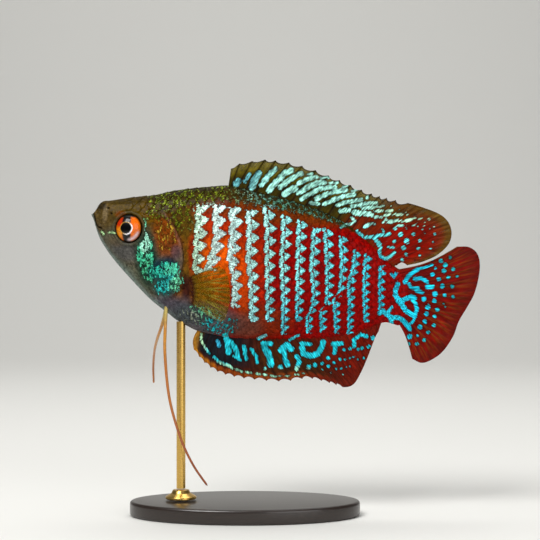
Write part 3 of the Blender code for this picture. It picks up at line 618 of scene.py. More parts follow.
TAIL_SPOTS = [
    (0.28, 68.8, 49.4), (0.46, 69.9, 50.8), (0.39, 71.8, 51.5), (0.48, 70.8, 50), (0.39, 72.4, 49.2),
    (0.46, 68.2, 48.1), (0.5, 70.5, 48.8), (0.5, 69.5, 47.1), (0.41, 71.4, 47.5), (0.32, 73.2, 47.7),
    (0.48, 70.2, 45.8), (0.41, 72.2, 45.7), (0.55, 68.7, 44.2), (0.37, 70.7, 43.9), (0.39, 72.4, 43.6),
    (0.5, 66.5, 43.2), (0.46, 68.6, 42.8), (0.23, 70.5, 42.3), (0.55, 67.3, 41.6), (0.44, 69.2, 41.1),
    (0.21, 70.8, 41.6), (0.48, 67, 40.2), (0.39, 68.7, 39.7), (0.48, 66.7, 38.7), (0.41, 68.5, 37.9),
    (0.53, 65.7, 37.6), (0.39, 67.4, 36.5), (0.53, 63.6, 35.7), (0.28, 65.2, 35.8), (0.37, 66.6, 35),
    (0.37, 63.5, 34.2), (0.37, 65.1, 34.2), (0.28, 68.2, 51.1),
]
ANAL_STREAKS = [
    (0.25, 22, 36.3, 21.9, 34.9, 22.9, 33.2, 23.7, 32.2), (0.36, 24.6, 31.5, 25.6, 30.5, 26.4, 30.2),
    (0.34, 27, 30.1, 28.2, 29.4), (0.28, 28.9, 29.1, 30, 28.7), (0.25, 30.9, 28.6, 31.9, 28.4),
    (0.22, 32.9, 28.3, 33.7, 28.1), (0.22, 34.3, 28.1, 35.1, 28), (0.22, 35.8, 27.9, 36.8, 27.7),
    (0.17, 37.5, 27.8, 38, 27.8), (0.17, 38.9, 27.8, 39.7, 27.9), (0.17, 40.7, 28.1, 41.4, 28.1),
    (0.14, 42.1, 28.3, 42.7, 28.4), (0.4, 25.2, 34.8, 25.5, 33.8), (0.6, 26.7, 36, 27.2, 34.6, 27.4, 32.6),
    (0.55, 27.8, 34.6, 28.9, 33.2, 29.2, 31.8), (0.28, 28.5, 31.8, 29.8, 30.9),
    (0.42, 30.5, 33.7, 30.9, 31.2), (0.34, 31.9, 33.2, 32.9, 31.8, 33.1, 30.5), (0.34, 33.4, 35.3, 34.8, 36),
    (0.48, 34.3, 34.3, 35.9, 34.3), (0.67, 34.5, 33.7, 35.2, 32.6, 35.7, 31.2, 35.9, 30.1),
    (0.28, 39.6, 35, 41.4, 36), (0.65, 37.9, 33, 39, 34, 39.9, 33.2),
    (0.53, 38.5, 32.6, 38.7, 31.2, 39.2, 30), (0.42, 42, 34.3, 43.8, 34.2),
    (0.59, 42.1, 33.5, 42.4, 32.3, 43.8, 31.8, 45.3, 32.3, 46, 33.5, 46.3, 34.6),
    (0.45, 41, 31.8, 41.6, 30.7, 41, 29.2), (0.48, 48.3, 34.2, 50, 34.3), (0.45, 48.8, 33.7, 48.6, 32.5),
    (0.39, 52.5, 33.7, 52.5, 35.1, 53.9, 36.1, 55, 35.7),
]
ANAL_SPOTS = [
    (0.39, 34.7, 29.2), (0.51, 37.8, 29.6), (0.51, 43.4, 29.6), (0.48, 44.7, 30), (0.36, 46.1, 30.3),
    (0.36, 47.4, 29.8), (0.34, 48.5, 30.5), (0.42, 47.3, 31.4), (0.34, 49.7, 31.2), (0.22, 50.7, 31.1),
    (0.25, 51.7, 31.4), (0.22, 52.4, 31.6), (0.34, 50.5, 33.1), (0.34, 51.7, 33.3), (0.34, 53.3, 33.1),
    (0.36, 54.1, 33.4), (0.39, 55.4, 33.7), (0.45, 56.3, 35.4), (0.2, 53.3, 31.1), (0.25, 54.4, 31.4),
    (0.2, 46.2, 29.1), (0.22, 48.9, 29.2), (0.22, 49.9, 29.3), (0.17, 50.9, 29.6), (0.17, 51.7, 29.8),
    (0.17, 47.9, 28.5), (0.14, 50.3, 28.2),
]
HEAD_STREAKS = [
    (0.26, 1.7, 56.7, 2.1, 56.2), (0.22, 3.2, 56.6, 3.6, 56.5), (0.24, 3.9, 56.7, 4.4, 56.4),
    (0.14, 10.3, 59.4, 10.7, 58.8, 10.7, 57), (0.2, 10.9, 59.3, 11.3, 59.3), (0.22, 20.8, 49.8, 21, 48.2),
]
FAR_OUTSIDE = -1.0  # mm, for points that are nowhere near a mark


def streak_field(along, up, streaks):
    """How far inside the nearest streak each place is, in mm."""
    field = np.full(len(along), FAR_OUTSIDE)
    here = np.column_stack([along, up])
    for half, *places in streaks:
        points = np.reshape(places, (-1, 2))
        near = np.all((here > points.min(axis=0) - half - 1) & (here < points.max(axis=0) + half + 1), axis=1)
        ends = points[1:] if len(points) > 1 else points
        for a, b in zip(points, ends):
            run = b - a
            share = np.clip(((here[near] - a) @ run) / max(run @ run, 1e-9), 0, 1)
            gap = np.hypot(*(here[near] - a - share[:, None] * run).T)
            field[near] = np.maximum(field[near], half - gap)
    return field


BODY_STREAKS = DORSAL_STREAKS + TAIL_STREAKS + ANAL_STREAKS + [
    (half, *on_flank(np.reshape(places, (-1, 2))).ravel()) for half, *places in HEAD_STREAKS
]
print("bars:", LAST_BAR - FIRST_BAR + 1, "- streaks on the body and fins:", len(BODY_STREAKS))

# %% [markdown]
# ## The ground colours
# Under the turquoise lies a painting of broad washes: olive on the back, brown on the head, grey below,
# orange behind the gills that deepens to dark red. Each wash is an oval patch with its own strength.

# %% Washes of the head and flank
# hex colour, centre (along, up), radii, strength, lean. They go on in this order.
FLANK_WASHES = [
    ("#b43002", (25.5, 52.0), (9.5, 12.0), 0.75, 0.0),
    ("#e65a04", (25.0, 50.8), (5.2, 5.0), 0.9, 0.0),
    ("#d84802", (30.3, 46.5), (1.5, 8.0), 0.75, 0.0),
    ("#7c3806", (18.6, 54.0), (4.4, 9.0), 0.9, 0.0),
    ("#6e4c0c", (20.0, 43.6), (5.5, 5.5), 0.8, 0.0),
    ("#54440c", (18.0, 58.6), (3.4, 4.2), 0.85, -0.2),
    ("#5c4a0e", (18.9, 50.4), (1.1, 5.2), 0.7, 0.0),
    ("#8c1c04", (20.1, 52.4), (0.8, 4.4), 0.8, 0.02),
    ("#b42402", (34.2, 47.0), (1.4, 9.0), 0.5, 0.0),
    ("#8c2002", (34.0, 55.0), (8.0, 4.0), 0.3, 0.0),
    ("#682e02", (36.0, 60.6), (14.0, 3.2), 0.85, -3.0),
    ("#6a2c0a", (33.0, 38.6), (8.0, 3.6), 0.6, 0.0),
]
BELLY_WASHES = [
    ("#4e4c56", (15.5, 40.6), (6.0, 3.4), 0.95, 0.0),
    ("#54565a", (20.0, 38.4), (10.0, 3.4), 0.95, 0.0),
    ("#3e4a4c", (22.0, 40.4), (6.0, 2.4), 0.6, 0.0),
    ("#5c3c30", (30.5, 37.6), (4.0, 2.6), 0.6, 0.0),
]
HEAD_WASHES = [
    ("#523e00", (10.0, 62.2), (12.0, 4.8), 0.98, 0.0),
    ("#624200", (14.5, 59.6), (4.8, 4.6), 0.85, 0.0),
    ("#28200a", (6.0, 63.4), (6.0, 1.3), 0.6, 0.0),
    ("#4e3c18", (1.8, 59.8), (2.8, 3.4), 0.8, 0.0),
    # The pale stripe down the lip fold is partly the lip's own paler colour and partly a painted highlight on
    # its ridge.
    ("#7c6a4c", (2.4, 60.4), (0.6, 1.9), 0.65, 0.1),
    ("#7c2c04", (5.6, 60.2), (1.2, 0.8), 0.5, 0.0),
    ("#18140e", (1.3, 62.0), (1.3, 0.9), 0.7, 0.0),
    ("#7c3a08", (15.4, 55.6), (3.6, 4.8), 0.9, 0.0),
    ("#8f4408", (14.4, 56.6), (2.0, 2.6), 0.5, 0.0),
    ("#4e4656", (16.9, 52.6), (1.1, 1.5), 0.5, 0.0),
    ("#3c1014", (15.6, 50.6), (1.3, 1.2), 0.8, 0.0),
    ("#4a4a4e", (6.4, 52.8), (3.0, 2.2), 0.6, -0.4),
    ("#5c4c34", (4.6, 54.8), (1.6, 1.2), 0.5, -0.4),
    ("#626450", (8.8, 47.6), (2.0, 2.4), 0.6, -0.85),
    ("#143a2e", (10.9, 51.4), (2.4, 6.6), 0.9, -0.05),
    ("#0e3440", (14.2, 49.2), (3.2, 2.6), 0.9, 0.3),
    ("#16544f", (15.4, 46.2), (3.0, 2.8), 0.85, 0.3),
    ("#5f6a60", (6.4, 48.8), (1.6, 3.0), 0.5, -0.85),
]
HEAD_BASE, FLANK_BASE, CHIN_PALE = "#545040", "#8a0300", "#7c8c86"
BACK_OLIVE, BACK_DARK = "#3c3002", "#1a1602"
BACK_DEPTH = [(9.0, 2.4), (14.0, 4.6), (20.0, 4.2), (26.0, 3.4), (36.0, 2.7), (46.0, 1.8), (54.0, 0.5),
              (61.3, 0.2)]


def behind_gill(along, up):
    """Millimetres behind the gill cover's edge, negative ahead of it."""
    gap, ahead = from_line(along, up, GILL)
    return gap * ahead


def with_patches(colours, patches, along, up):
    """Lays the ovals of a list over the colours, in their order."""
    for hex_colour, centre, radii, strength, lean in patches:
        colours = washed(colours, hex_colour, strength * patch(along, up, on_flank(centre), radii, lean))
    return colours


def ground_colour(along, up):
    """The painted ground at each place in side view, with a painted highlight and a painted shadow along the
    gill cover's edge.
    """
    past_gill = behind_gill(along, up)
    on_head = fade(past_gill, 0.15, -0.15)[:, None]
    flank = with_patches(np.tile(paint(FLANK_BASE), (len(along), 1)), FLANK_WASHES, along, up)
    head = with_patches(np.tile(paint(HEAD_BASE), (len(along), 1)), HEAD_WASHES, along, up)
    colours = flank * (1 - on_head) + head * on_head
    # Painted highlight: a pinkish light line just ahead of the gill cover's free edge.
    colours = washed(colours, "#7c5c50", 0.5 * bump(past_gill, -0.3, 0.2) * fade(up, 44.0, 47.0))
    # Painted shadow: a dark line just behind the gill cover's edge, where the flap would cast its shade.
    colours = washed(colours, "#140c04", 0.75 * bump(past_gill, 0.12, 0.16))
    colours = washed(colours, "#34120e", 0.95 * patch(along, up, on_flank((18.9, 45.4)), (1.2, 3.0)))
    below_back = line_at(BACK_LINE, along) - up
    deep = line_at(BACK_DEPTH, along)
    behind_eye = fade(along, 9.0, 15.0)
    colours = washed(colours, BACK_OLIVE, 0.97 * behind_eye * fade(below_back, deep * 1.25, deep * 0.7))
    colours = washed(colours, BACK_DARK, 0.8 * behind_eye * fade(below_back, deep * 0.6, 0.0))
    colours = with_patches(colours, BELLY_WASHES, along, up)
    above_belly = up - line_at(BELLY_LINE, along)
    return washed(colours, CHIN_PALE, 0.75 * fade(above_belly, 1.7, 0.3) * fade(along, 20.0, 12.0))


# %% The turquoise's own tint
GLEAM_TINTS = [(18.0, "#a4c890"), (21.5, "#b8dcc4"), (26.0, "#c4dcd8"), (33.0, "#a4dcd4"), (42.0, "#84dcdc"),
               (54.0, "#48ccdc"), (61.3, "#20bcdc")]
LOW_TINT, BACK_TINT, BACK_TINT_BEHIND = "#28c4dc", "#707c14", "#5c9880"
# Places where flecks of crystal lie: tint, centre, radii, lean, how dense.
FLECKS = [
    ("#8c8c30", (13.6, 60.8), (4.4, 2.4), 0.0, 0.5),
    ("#a88428", (14.8, 56.4), (3.2, 4.8), 0.0, 0.74),
    ("#6c9870", (9.0, 48.6), (2.4, 3.0), -0.6, 0.4),
    ("#4cc89c", (10.7, 52.2), (2.2, 6.8), -0.08, 0.92),
    ("#a8ecd0", (10.5, 55.2), (1.2, 2.8), -0.05, 1.0),
    ("#4cb888", (11.2, 48.4), (1.6, 2.6), 0.0, 0.85),
    ("#30b49c", (14.8, 48.9), (3.6, 2.2), 0.3, 0.95),
    ("#54d0ac", (16.2, 49.2), (1.6, 1.6), 0.3, 0.95),
    ("#28a8a4", (15.2, 45.8), (3.6, 2.2), 0.4, 0.9),
    ("#6cd0a4", (17.0, 46.4), (1.4, 2.0), 0.4, 0.95),
    ("#6cc49c", (22.4, 39.8), (4.6, 2.6), -0.5, 0.84),
    ("#24b4bc", (26.0, 37.6), (4.6, 2.4), 0.3, 0.75),
    ("#8c9484", (18.0, 39.2), (3.6, 2.2), 0.0, 0.55),
]


def pattern_at(along, up, share):
    """All that the finish needs to know of each place, as named values."""
    phase, pitch = bar_phase(along, up)
    row, height = row_of(along, share)
    bar = np.clip(np.floor(phase + GAP_AHEAD).astype(int), 0, len(BARS) - 1)
    top, low = BAR_TOPS[bar], BAR_LOWS[bar]
    inside = fade(up, top + 0.5, top - 0.5) * fade(up, low - 0.4, low + 0.5)
    inside = inside * ((bar >= FIRST_BAR) & (bar <= LAST_BAR) & (behind_gill(along, up) > 0))
    fuller = 0.13 * fade(along, 36.0, 27.0) * fade(along, 19.0, 23.0)
    ragged = 0.15 * np.sin(9.0 * along) * np.sin(7.0 * up) * fade(along, 36.0, 29.0)
    above, below = bar_phase(along, up + 0.3)[0], bar_phase(along, up - 0.3)[0]
    lean = np.abs(above - below) * pitch / 0.6
    broken = fade(lean, 0.4, 0.7) * fade(along, 34.0, 38.0)
    grow = fuller + ragged - 0.4 * broken - 1.2 * (1 - inside)
    places = [place for place, _ in GLEAM_TINTS]
    tints = np.array([paint(tint) for _, tint in GLEAM_TINTS])
    gleam = np.column_stack([np.interp(along, places, tints[:, k]) for k in range(3)])
    gleam = washed(gleam, LOW_TINT, 0.8 * fade(up, 51.0, 38.0) * fade(along, 26.0, 42.0))
    dense = np.zeros(len(along))
    for tint, centre, radii, lean, density in FLECKS:
        here = patch(along, up, on_flank(centre), radii, lean)
        gleam = washed(gleam, tint, np.minimum(1, 1.6 * here))
        dense = np.maximum(dense, density * here)
    dense = dense * fade(from_eye(along, up), 0.35, 0.8)
    below_back = line_at(BACK_LINE, along) - up
    deep = line_at(BACK_DEPTH, along)
    on_back = fade(below_back, deep * 1.5, deep * 1.1)
    behind = fade(behind_gill(along, up), -0.3, 0.3)
    on_back = np.maximum(on_back, behind * fade(along, 23.0, 20.0) * fade(up, 53.0, 58.0))
    on_back = on_back * fade(along, 8.0, 12.0) * fade(along, 56.0, 50.0)
    late = fade(along, 26.0, 38.0)
    gleam = washed(gleam, BACK_TINT, on_back * (1 - late) * (inside < 0.5))
    gleam = washed(gleam, BACK_TINT_BEHIND, on_back * late * (inside < 0.5))
    return {
        "lattice": np.column_stack([phase + GAP_AHEAD, row / 2 + 0.5, row / 2 + 1.0]),
        "sizes": np.column_stack([pitch / height, height, grow]),
        "ground": ground_colour(along, up), "gleam": gleam, "fleck": dense, "back": on_back,
        "mark": streak_field(along, up, BODY_STREAKS),
    }


print("washes:", len(FLANK_WASHES + BELLY_WASHES + HEAD_WASHES), "- fleck patches:", len(FLECKS))

# %% [markdown]
# ## One living finish
# Skin, scales and fins wear the same finish, as one coat of slime covers them all on the fish. It reads the
# painted ground and the tint of the reflecting crystals from each point, and draws the marks itself, so
# that they stay sharp however close one looks. Teeth and strokes come from the place in the lattice of
# scales: a fraction says where in its cell a point lies, and an oval with two cut edges makes a tooth.
# Flecks are a noise that is stretched upwards. Crystals lie in grains, so a fine noise frays each edge, and
# the same noise paints glints and dark specks into the turquoise; each mark is also painted brighter in its
# middle.

# %% The material helper
MATHS, VECTORS, MIX = "ShaderNodeMath", "ShaderNodeVectorMath", "ShaderNodeMix"
RANGE, NOISE, MAPPING = "ShaderNodeMapRange", "ShaderNodeTexNoise", "ShaderNodeMapping"
POINT, PLACES = "ShaderNodeAttribute", "ShaderNodeTexCoord"
SPLIT, JOIN, BUMP = "ShaderNodeSeparateXYZ", "ShaderNodeCombineXYZ", "ShaderNodeBump"
MAIN_SETTING = {MATHS: "operation", VECTORS: "operation", MIX: "data_type", RANGE: "interpolation_type",
                POINT: "attribute_name"}


def connect(tree, node, links):
    """Fills a node's inputs by name or number. Each gets a value, a socket or a node's first live output."""
    for name, value in links.items():
        socket = node.inputs[int(name[1:]) if name[1:].isdigit() else name.replace("_", " ")]
        if isinstance(value, bpy.types.Node):
            value = next(out for out in value.outputs if out.enabled)
        if isinstance(value, bpy.types.NodeSocket):
            tree.links.new(value, socket)
        else:
            socket.default_value = value


def add(tree, kind, main=None, **links):
    """Adds a node with its main setting and its links. A _ stands for a space in an input's name."""
    node = tree.nodes.new(kind)
    if main:
        setattr(node, MAIN_SETTING[kind], main)
    connect(tree, node, links)
    return node


def new_material(name):
    made = bpy.data.materials.new(name)
    made.use_nodes = True
    return made, made.node_tree, made.node_tree.nodes["Principled BSDF"]


# %% The marks as nodes
GRAIN = 0.24  # mm across a grain of crystals
FRAY = 0.26  # mm by which the grains fray a mark's edge
# A tooth is an oval with its front cut off and its back drawn to a point. All of these are in rows.
TOOTH_STRETCH, TOOTH_SHIFT = (1.5, 1.22, 0.0), (0.03, -0.04, 0.0)
TOOTH_FRONT, TOOTH_POINT, TOOTH_LEAN, TOOTH_TAPER = 0.44, 0.74, 0.3, 0.78
STRAND_AHEAD, STRAND_LEAN, STRAND_HALF = 0.84, 0.17, 0.35


def flank_marks(tree):
    """Millimetres inside the teeth and strokes of a bar."""
    lattice = add(tree, POINT, "lattice").outputs["Vector"]
    sizes = add(tree, SPLIT, _0=add(tree, POINT, "sizes").outputs["Vector"])
    cell = add(tree, SPLIT, _0=add(tree, VECTORS, "FRACTION", _0=lattice))
    ahead = add(tree, MATHS, "SUBTRACT", _0=cell.outputs[0], _1=GAP_AHEAD)
    across = add(tree, MATHS, "MULTIPLY", _0=ahead, _1=sizes.outputs[0])
    tooth_up = add(tree, MATHS, "MULTIPLY_ADD", _0=cell.outputs[1], _1=-2.0, _2=1.0)
    strand_up = add(tree, MATHS, "MULTIPLY_ADD", _0=cell.outputs[2], _1=-2.0, _2=1.0)
    tooth = add(tree, JOIN, _0=across, _1=tooth_up, _2=0.0)
    tooth = add(tree, VECTORS, "MULTIPLY_ADD", _0=tooth, _1=TOOTH_STRETCH, _2=TOOTH_SHIFT)
    tooth = add(tree, VECTORS, "LENGTH", _0=tooth).outputs["Value"]
    tooth = add(tree, MATHS, "MULTIPLY_ADD", _0=tooth, _1=-0.62, _2=0.62)
    leaning = add(tree, MATHS, "MULTIPLY_ADD", _0=across, _1=-TOOTH_LEAN, _2=tooth_up)
    leaning = add(tree, MATHS, "ABSOLUTE", _0=leaning)
    taper = add(tree, MATHS, "MULTIPLY_ADD", _0=leaning, _1=-TOOTH_TAPER, _2=0.6 * TOOTH_POINT)
    taper = add(tree, MATHS, "MULTIPLY_ADD", _0=across, _1=-0.6, _2=taper)
    tooth = add(tree, MATHS, "SMOOTH_MIN", _0=tooth, _1=taper, _2=0.1)
    front = add(tree, MATHS, _0=across, _1=TOOTH_FRONT)
    tooth = add(tree, MATHS, "SMOOTH_MIN", _0=tooth, _1=front, _2=0.12)
    strand = add(tree, JOIN, _0=across, _1=strand_up, _2=1.0)
    off = add(tree, VECTORS, "DOT_PRODUCT", _0=strand, _1=(1.0, -STRAND_LEAN, STRAND_AHEAD))
    off = add(tree, MATHS, "ABSOLUTE", _0=off.outputs["Value"])
    squared = add(tree, MATHS, "MULTIPLY", _0=strand_up, _1=strand_up)
    half = add(tree, MATHS, "MULTIPLY_ADD", _0=squared, _1=-0.12, _2=STRAND_HALF)
    strand = add(tree, MATHS, "SUBTRACT", _0=half, _1=off)
    either = add(tree, MATHS, "MAXIMUM", _0=tooth, _1=strand)
    return add(tree, MATHS, "MULTIPLY_ADD", _0=either, _1=sizes.outputs[1], _2=sizes.outputs[2])


def fleck_marks(tree, places):
    """Millimetres inside the flecks, which stand upright like brush strokes."""
    stretched = add(tree, MAPPING, Vector=places, Rotation=(0, 0.3, 0), Scale=(1.0, 1.0, 0.42))
    blotches = add(tree, NOISE, Vector=stretched, Scale=1 / (0.5 * MM), Detail=2.0, Roughness=0.6)
    dense = add(tree, POINT, "fleck").outputs["Fac"]
    needed = add(tree, MATHS, "MULTIPLY_ADD", _0=dense, _1=0.5, _2=-0.92)
    over = add(tree, MATHS, "ADD", _0=blotches.outputs["Fac"], _1=needed)
    return add(tree, MATHS, "MULTIPLY", _0=over, _1=1.6)


def back_marks(tree, places):
    """Millimetres inside the crooked arcs that edge each scale of the back."""
    rim = add(tree, POINT, "rim").outputs["Fac"]
    crooked = add(tree, NOISE, Vector=places, Scale=1 / (0.42 * MM), Detail=2.0)
    bent = add(tree, MATHS, "MULTIPLY_ADD", _0=crooked.outputs["Fac"], _1=1.7, _2=-1.55)
    off = add(tree, MATHS, "ABSOLUTE", _0=add(tree, MATHS, _0=rim, _1=bent))
    broken = add(tree, NOISE, Vector=places, Scale=1 / (0.8 * MM), Detail=1.0)
    broken = add(tree, MATHS, "MULTIPLY_ADD", _0=broken.outputs["Fac"], _1=0.7, _2=-0.28)
    arc = add(tree, MATHS, "MULTIPLY_ADD", _0=off, _1=-0.7, _2=broken)
    back = add(tree, POINT, "back").outputs["Fac"]
    return add(tree, MATHS, "MULTIPLY_ADD", _0=add(tree, MATHS, _0=back, _1=-1.0), _1=1.2, _2=arc)


# %% The fish's finish
def fish_finish(name, on_body, clear=False):
    """Wet fish skin: glossy slime over pigment and reflecting crystals."""
    made, tree, surface = new_material(name)
    if on_body:
        places = add(tree, PLACES).outputs["Object"]
    else:
        places = add(tree, POINT, "weave").outputs["Vector"]
    ground = add(tree, POINT, "ground").outputs["Color"]
    gleam = add(tree, POINT, "gleam").outputs["Color"]
    mark = add(tree, POINT, "mark").outputs["Fac"]
    if on_body:
        for field in (flank_marks(tree), fleck_marks(tree, places), back_marks(tree, places)):
            mark = add(tree, MATHS, "MAXIMUM", _0=mark, _1=field)
    grains = add(tree, NOISE, Vector=places, Scale=1 / (GRAIN * MM), Detail=2.0).outputs["Fac"]
    cloud = add(tree, NOISE, Vector=places, Scale=1 / (0.6 * MM), Detail=3.0).outputs["Fac"]
    frayed = add(tree, MATHS, "MULTIPLY_ADD", _0=grains, _1=2 * FRAY, _2=-FRAY)
    edge = add(tree, MATHS, _0=mark, _1=frayed)
    inside = add(tree, RANGE, "SMOOTHSTEP", Value=edge, From_Min=-0.05, From_Max=0.06)
    rim = add(tree, RANGE, "SMOOTHSTEP", Value=edge, From_Min=-0.26, From_Max=-0.03, To_Min=1.0, To_Max=0.4)
    # Painted highlight: each mark is brighter in its middle.
    bright_core_highlight = add(tree, RANGE, "SMOOTHSTEP", Value=edge, From_Min=0.0, From_Max=0.26, To_Min=0.6, To_Max=1.15)
    # Painted glints and dark specks: the grain noise lightens and darkens the turquoise.
    glint_speckle = add(tree, RANGE, Value=grains, From_Min=0.34, From_Max=0.66, To_Min=0.3, To_Max=1.45)
    drift = add(tree, RANGE, Value=cloud, From_Min=0.32, From_Max=0.68, To_Min=0.62, To_Max=1.3)
    mottle = add(tree, RANGE, Value=grains, From_Min=0.3, From_Max=0.7, To_Min=0.72, To_Max=1.25)
    glints = add(tree, MATHS, "MULTIPLY", _0=glint_speckle, _1=drift)
    lit = add(tree, MATHS, "MULTIPLY", _0=glints, _1=bright_core_highlight)
    uneven = add(tree, MATHS, "MULTIPLY", _0=mottle, _1=drift)
    lowered = add(tree, MATHS, "MULTIPLY", _0=uneven, _1=rim)
    dark = add(tree, VECTORS, "SCALE", _0=ground, Scale=lowered)
    bright = add(tree, VECTORS, "SCALE", _0=gleam, Scale=lit)
    colour = add(tree, MIX, "RGBA", _0=inside, _6=dark, _7=bright)
    relief = add(tree, BUMP, Height=grains, Strength=0.3, Distance=0.03 * MM)
    connect(tree, surface, {
        "Base Color": colour, "Normal": relief, "IOR": 1.36, "Specular IOR Level": 0.05,
        "Roughness": add(tree, RANGE, Value=inside, To_Min=0.5, To_Max=0.36),
        "Metallic": add(tree, RANGE, Value=inside, To_Min=0.0, To_Max=0.15),
        "Coat Weight": 0.04, "Coat Roughness": 0.1,
    })
    if clear:
        connect(tree, surface, {"Alpha": add(tree, POINT, "solid").outputs["Fac"]})
    return made


SKIN_FINISH = fish_finish("wet_fish_skin", on_body=True)
FIN_FINISH = fish_finish("fin_membrane", on_body=False, clear=True)

# %% Colour the skin
skin_turn = np.abs(np.pi - turn_of(skin_grid[:, 1]))
skin_share = read_chart(chart_shares, np.minimum(skin_along, BODY_END), 1 - skin_turn / np.pi)
pattern = pattern_at(skin_along, skin_up, skin_share)
ring = from_eye(skin_along, skin_up)
mouth_gap = from_line(skin_along, skin_up, MOUTH)[0]
# Painted shade: the skin is darkened where it tucks under the eye's edge.
skin_paint_and_shade = washed(pattern["ground"], "#120e08", 0.85 * fade(ring, 0.16, -0.1))
skin_paint_and_shade = washed(skin_paint_and_shade, "#4c4c3a", 0.5 * bump(ring, 0.42, 0.22))
# Painted shade: a dark line in the mouth's slit between the lips.
skin_paint_and_shade = washed(skin_paint_and_shade, "#1c120c", 0.85 * bump(mouth_gap, 0.0, 0.13) * (skin_along < 3.5))
# Painted shade: each nostril pit is darkened inside.
for spot in NOSTRILS:
    away = np.hypot(skin_along - spot[0], skin_up - spot[1])
    skin_paint_and_shade = washed(skin_paint_and_shade, "#0c0906", 0.9 * fade(away, 0.32, 0.12))
pattern["ground"] = skin_paint_and_shade
pattern["rim"] = np.zeros(len(skin_along))
store_all(skin, pattern)
hand_over(skin, "skin", SKIN_FINISH, "head", "lower_jaw", "trunk", "tail_stalk")

# %% [markdown]
# ## The scales
# One scale is modelled and then laid out many times. It is a round, thin, closed plate of a few dozen faces:
# its rear edge stands clear and its front edge is sunk under the scale ahead, as on a roof. The copies are
# joined into one mesh a side, because two thousand separate objects would be slow to handle.

# %% Model one scale
SCALE_SIDES, SCALE_INSET = 12, 0.33


def model_scale():
    """A unit disc with one inner ring and a thin underside, closed. Returns its points and faces."""
    start_clean()
    bpy.ops.mesh.primitive_circle_add(vertices=SCALE_SIDES, radius=1, fill_type="NGON")
    plate = named("one_scale")
    bpy.ops.object.mode_set(mode="EDIT")
    bpy.ops.mesh.select_all(action="SELECT")
    bpy.ops.mesh.inset(thickness=SCALE_INSET)
    bpy.ops.mesh.poke()
    bpy.ops.mesh.select_all(action="DESELECT")
    bpy.ops.mesh.select_mode(type="EDGE")
    bpy.ops.mesh.select_non_manifold()
    bpy.ops.mesh.extrude_region_move(TRANSFORM_OT_translate={"value": (0, 0, -1)})
    bpy.ops.mesh.edge_face_add()
    bpy.ops.mesh.poke()
    bpy.ops.object.mode_set(mode="OBJECT")
    turn_outwards(plate)
    places = points_of(plate)
    corners = [tuple(face.vertices) for face in plate.data.polygons]
    bpy.data.objects.remove(plate)
    return places, corners


scale_points, scale_faces = model_scale()
under = scale_points[:, 2] < -0.5
print("one scale:", len(scale_points), "points,", len(scale_faces), "faces")

# %% Where the scales go
FIRST_ROW, LAST_ROW = -17, 18  # rows of the flank, from the back down
FIRST_SCALE, LAST_SCALE, HEAD_LAST = 4.0, 61.9, 19.4  # mm behind the snout
LONGEST_SPACE = 1.9  # mm between two scales of a row
EDGE_ROOM = 0.3  # mm kept free at the back and the belly
HEAD_SPACING, HEAD_ROW = 1.35, 0.74  # mm


def flank_rows():
    """For each scale: along, share round the side, the space to its neighbour and its row's height."""
    placed = []
    walk = np.linspace(FIRST_SCALE, LAST_SCALE, 2000)
    girth, height = girth_at(walk), line_at(ROW_HEIGHT, walk)
    for row in range(FIRST_ROW, LAST_ROW + 1):
        share = 0.5 + height * (row - ROW_NARROWING * row * row) / girth
        on_body = (share > EDGE_ROOM / girth) & (share < 1 - EDGE_ROOM / girth)
        up = read_chart(flank_chart, walk, np.clip(share, 0, 1))[:, 2]
        phase = bar_phase(walk, up)[0]
        for wanted in np.arange(0.75 if row % 2 else 0.5, len(BARS) - 1.2, 0.5):
            k = int(np.searchsorted(phase, wanted))
            if not 0 < k < len(walk) - 1 or not on_body[k]:
                continue
            slope = (walk[k + 1] - walk[k - 1]) / max(phase[k + 1] - phase[k - 1], 1e-6)
            tall = height[k] * (1 - 2 * ROW_NARROWING * row)
            placed.append((walk[k], share[k], min(0.5 * slope, LONGEST_SPACE), tall))
    return np.array(placed)


def head_rows(spacing, row_height):
    """Scales in plain rows for the cheek and the gill cover."""
    placed = []
    for row in range(1, 60):
        for k in range(16):
            along = FIRST_SCALE + spacing * (k + 0.5 * (row % 2))
            girth = float(girth_at(along))
            share = row * row_height / girth
            if along < HEAD_LAST and EDGE_ROOM / girth < share < 1 - EDGE_ROOM / girth:
                placed.append((along, share, spacing, row_height))
    return np.array(placed)


NAPE_LINE = np.array([(2.0, 61.9), (7.5, 61.1), (10.6, 60.3), (15.4, 60.3), (17.0, 60.0)])
rows, head = flank_rows(), head_rows(HEAD_SPACING, HEAD_ROW)
spots = read_chart(flank_chart, rows[:, 0], rows[:, 1])
nape_gap, above_nape = from_line(spots[:, 0], spots[:, 2], NAPE_LINE)
on_nape = (nape_gap * above_nape > 0.3) & (spots[:, 0] > 7.0)
rows = rows[(behind_gill(spots[:, 0], spots[:, 2]) > -0.9) & (spots[:, 0] > 16.0) | on_nape]
spots = read_chart(cheek_chart, head[:, 0], head[:, 1])
a, u = spots[:, 0], spots[:, 2]
nape_gap, above_nape = from_line(a, u, NAPE_LINE)
keep = (behind_gill(a, u) < -0.75) & (from_eye(a, u) > 1.3) & (nape_gap * above_nape < 0.2)
keep &= (a > 7.6) & (from_line(a, u, CHEEK_EDGE)[0] > 0.2) & (u > line_at(BELLY_LINE, a) + 1.2)
head = head[keep]
print("scales on one flank:", len(rows), "- on one side of the head:", len(head))

# %% Build one side's coat
PLATE_REAR, PLATE_FRONT = 0.64, 0.9  # shares of the space between scales, from its middle to its edges
PLATE_SINK, PLATE_DOME, PLATE_THICK, PLATE_CLEAR = 0.07, 0.02, 0.045, 0.03  # mm
unit_a, unit_b = scale_points[:, 0], scale_points[:, 1]
reach = np.hypot(unit_a, unit_b)


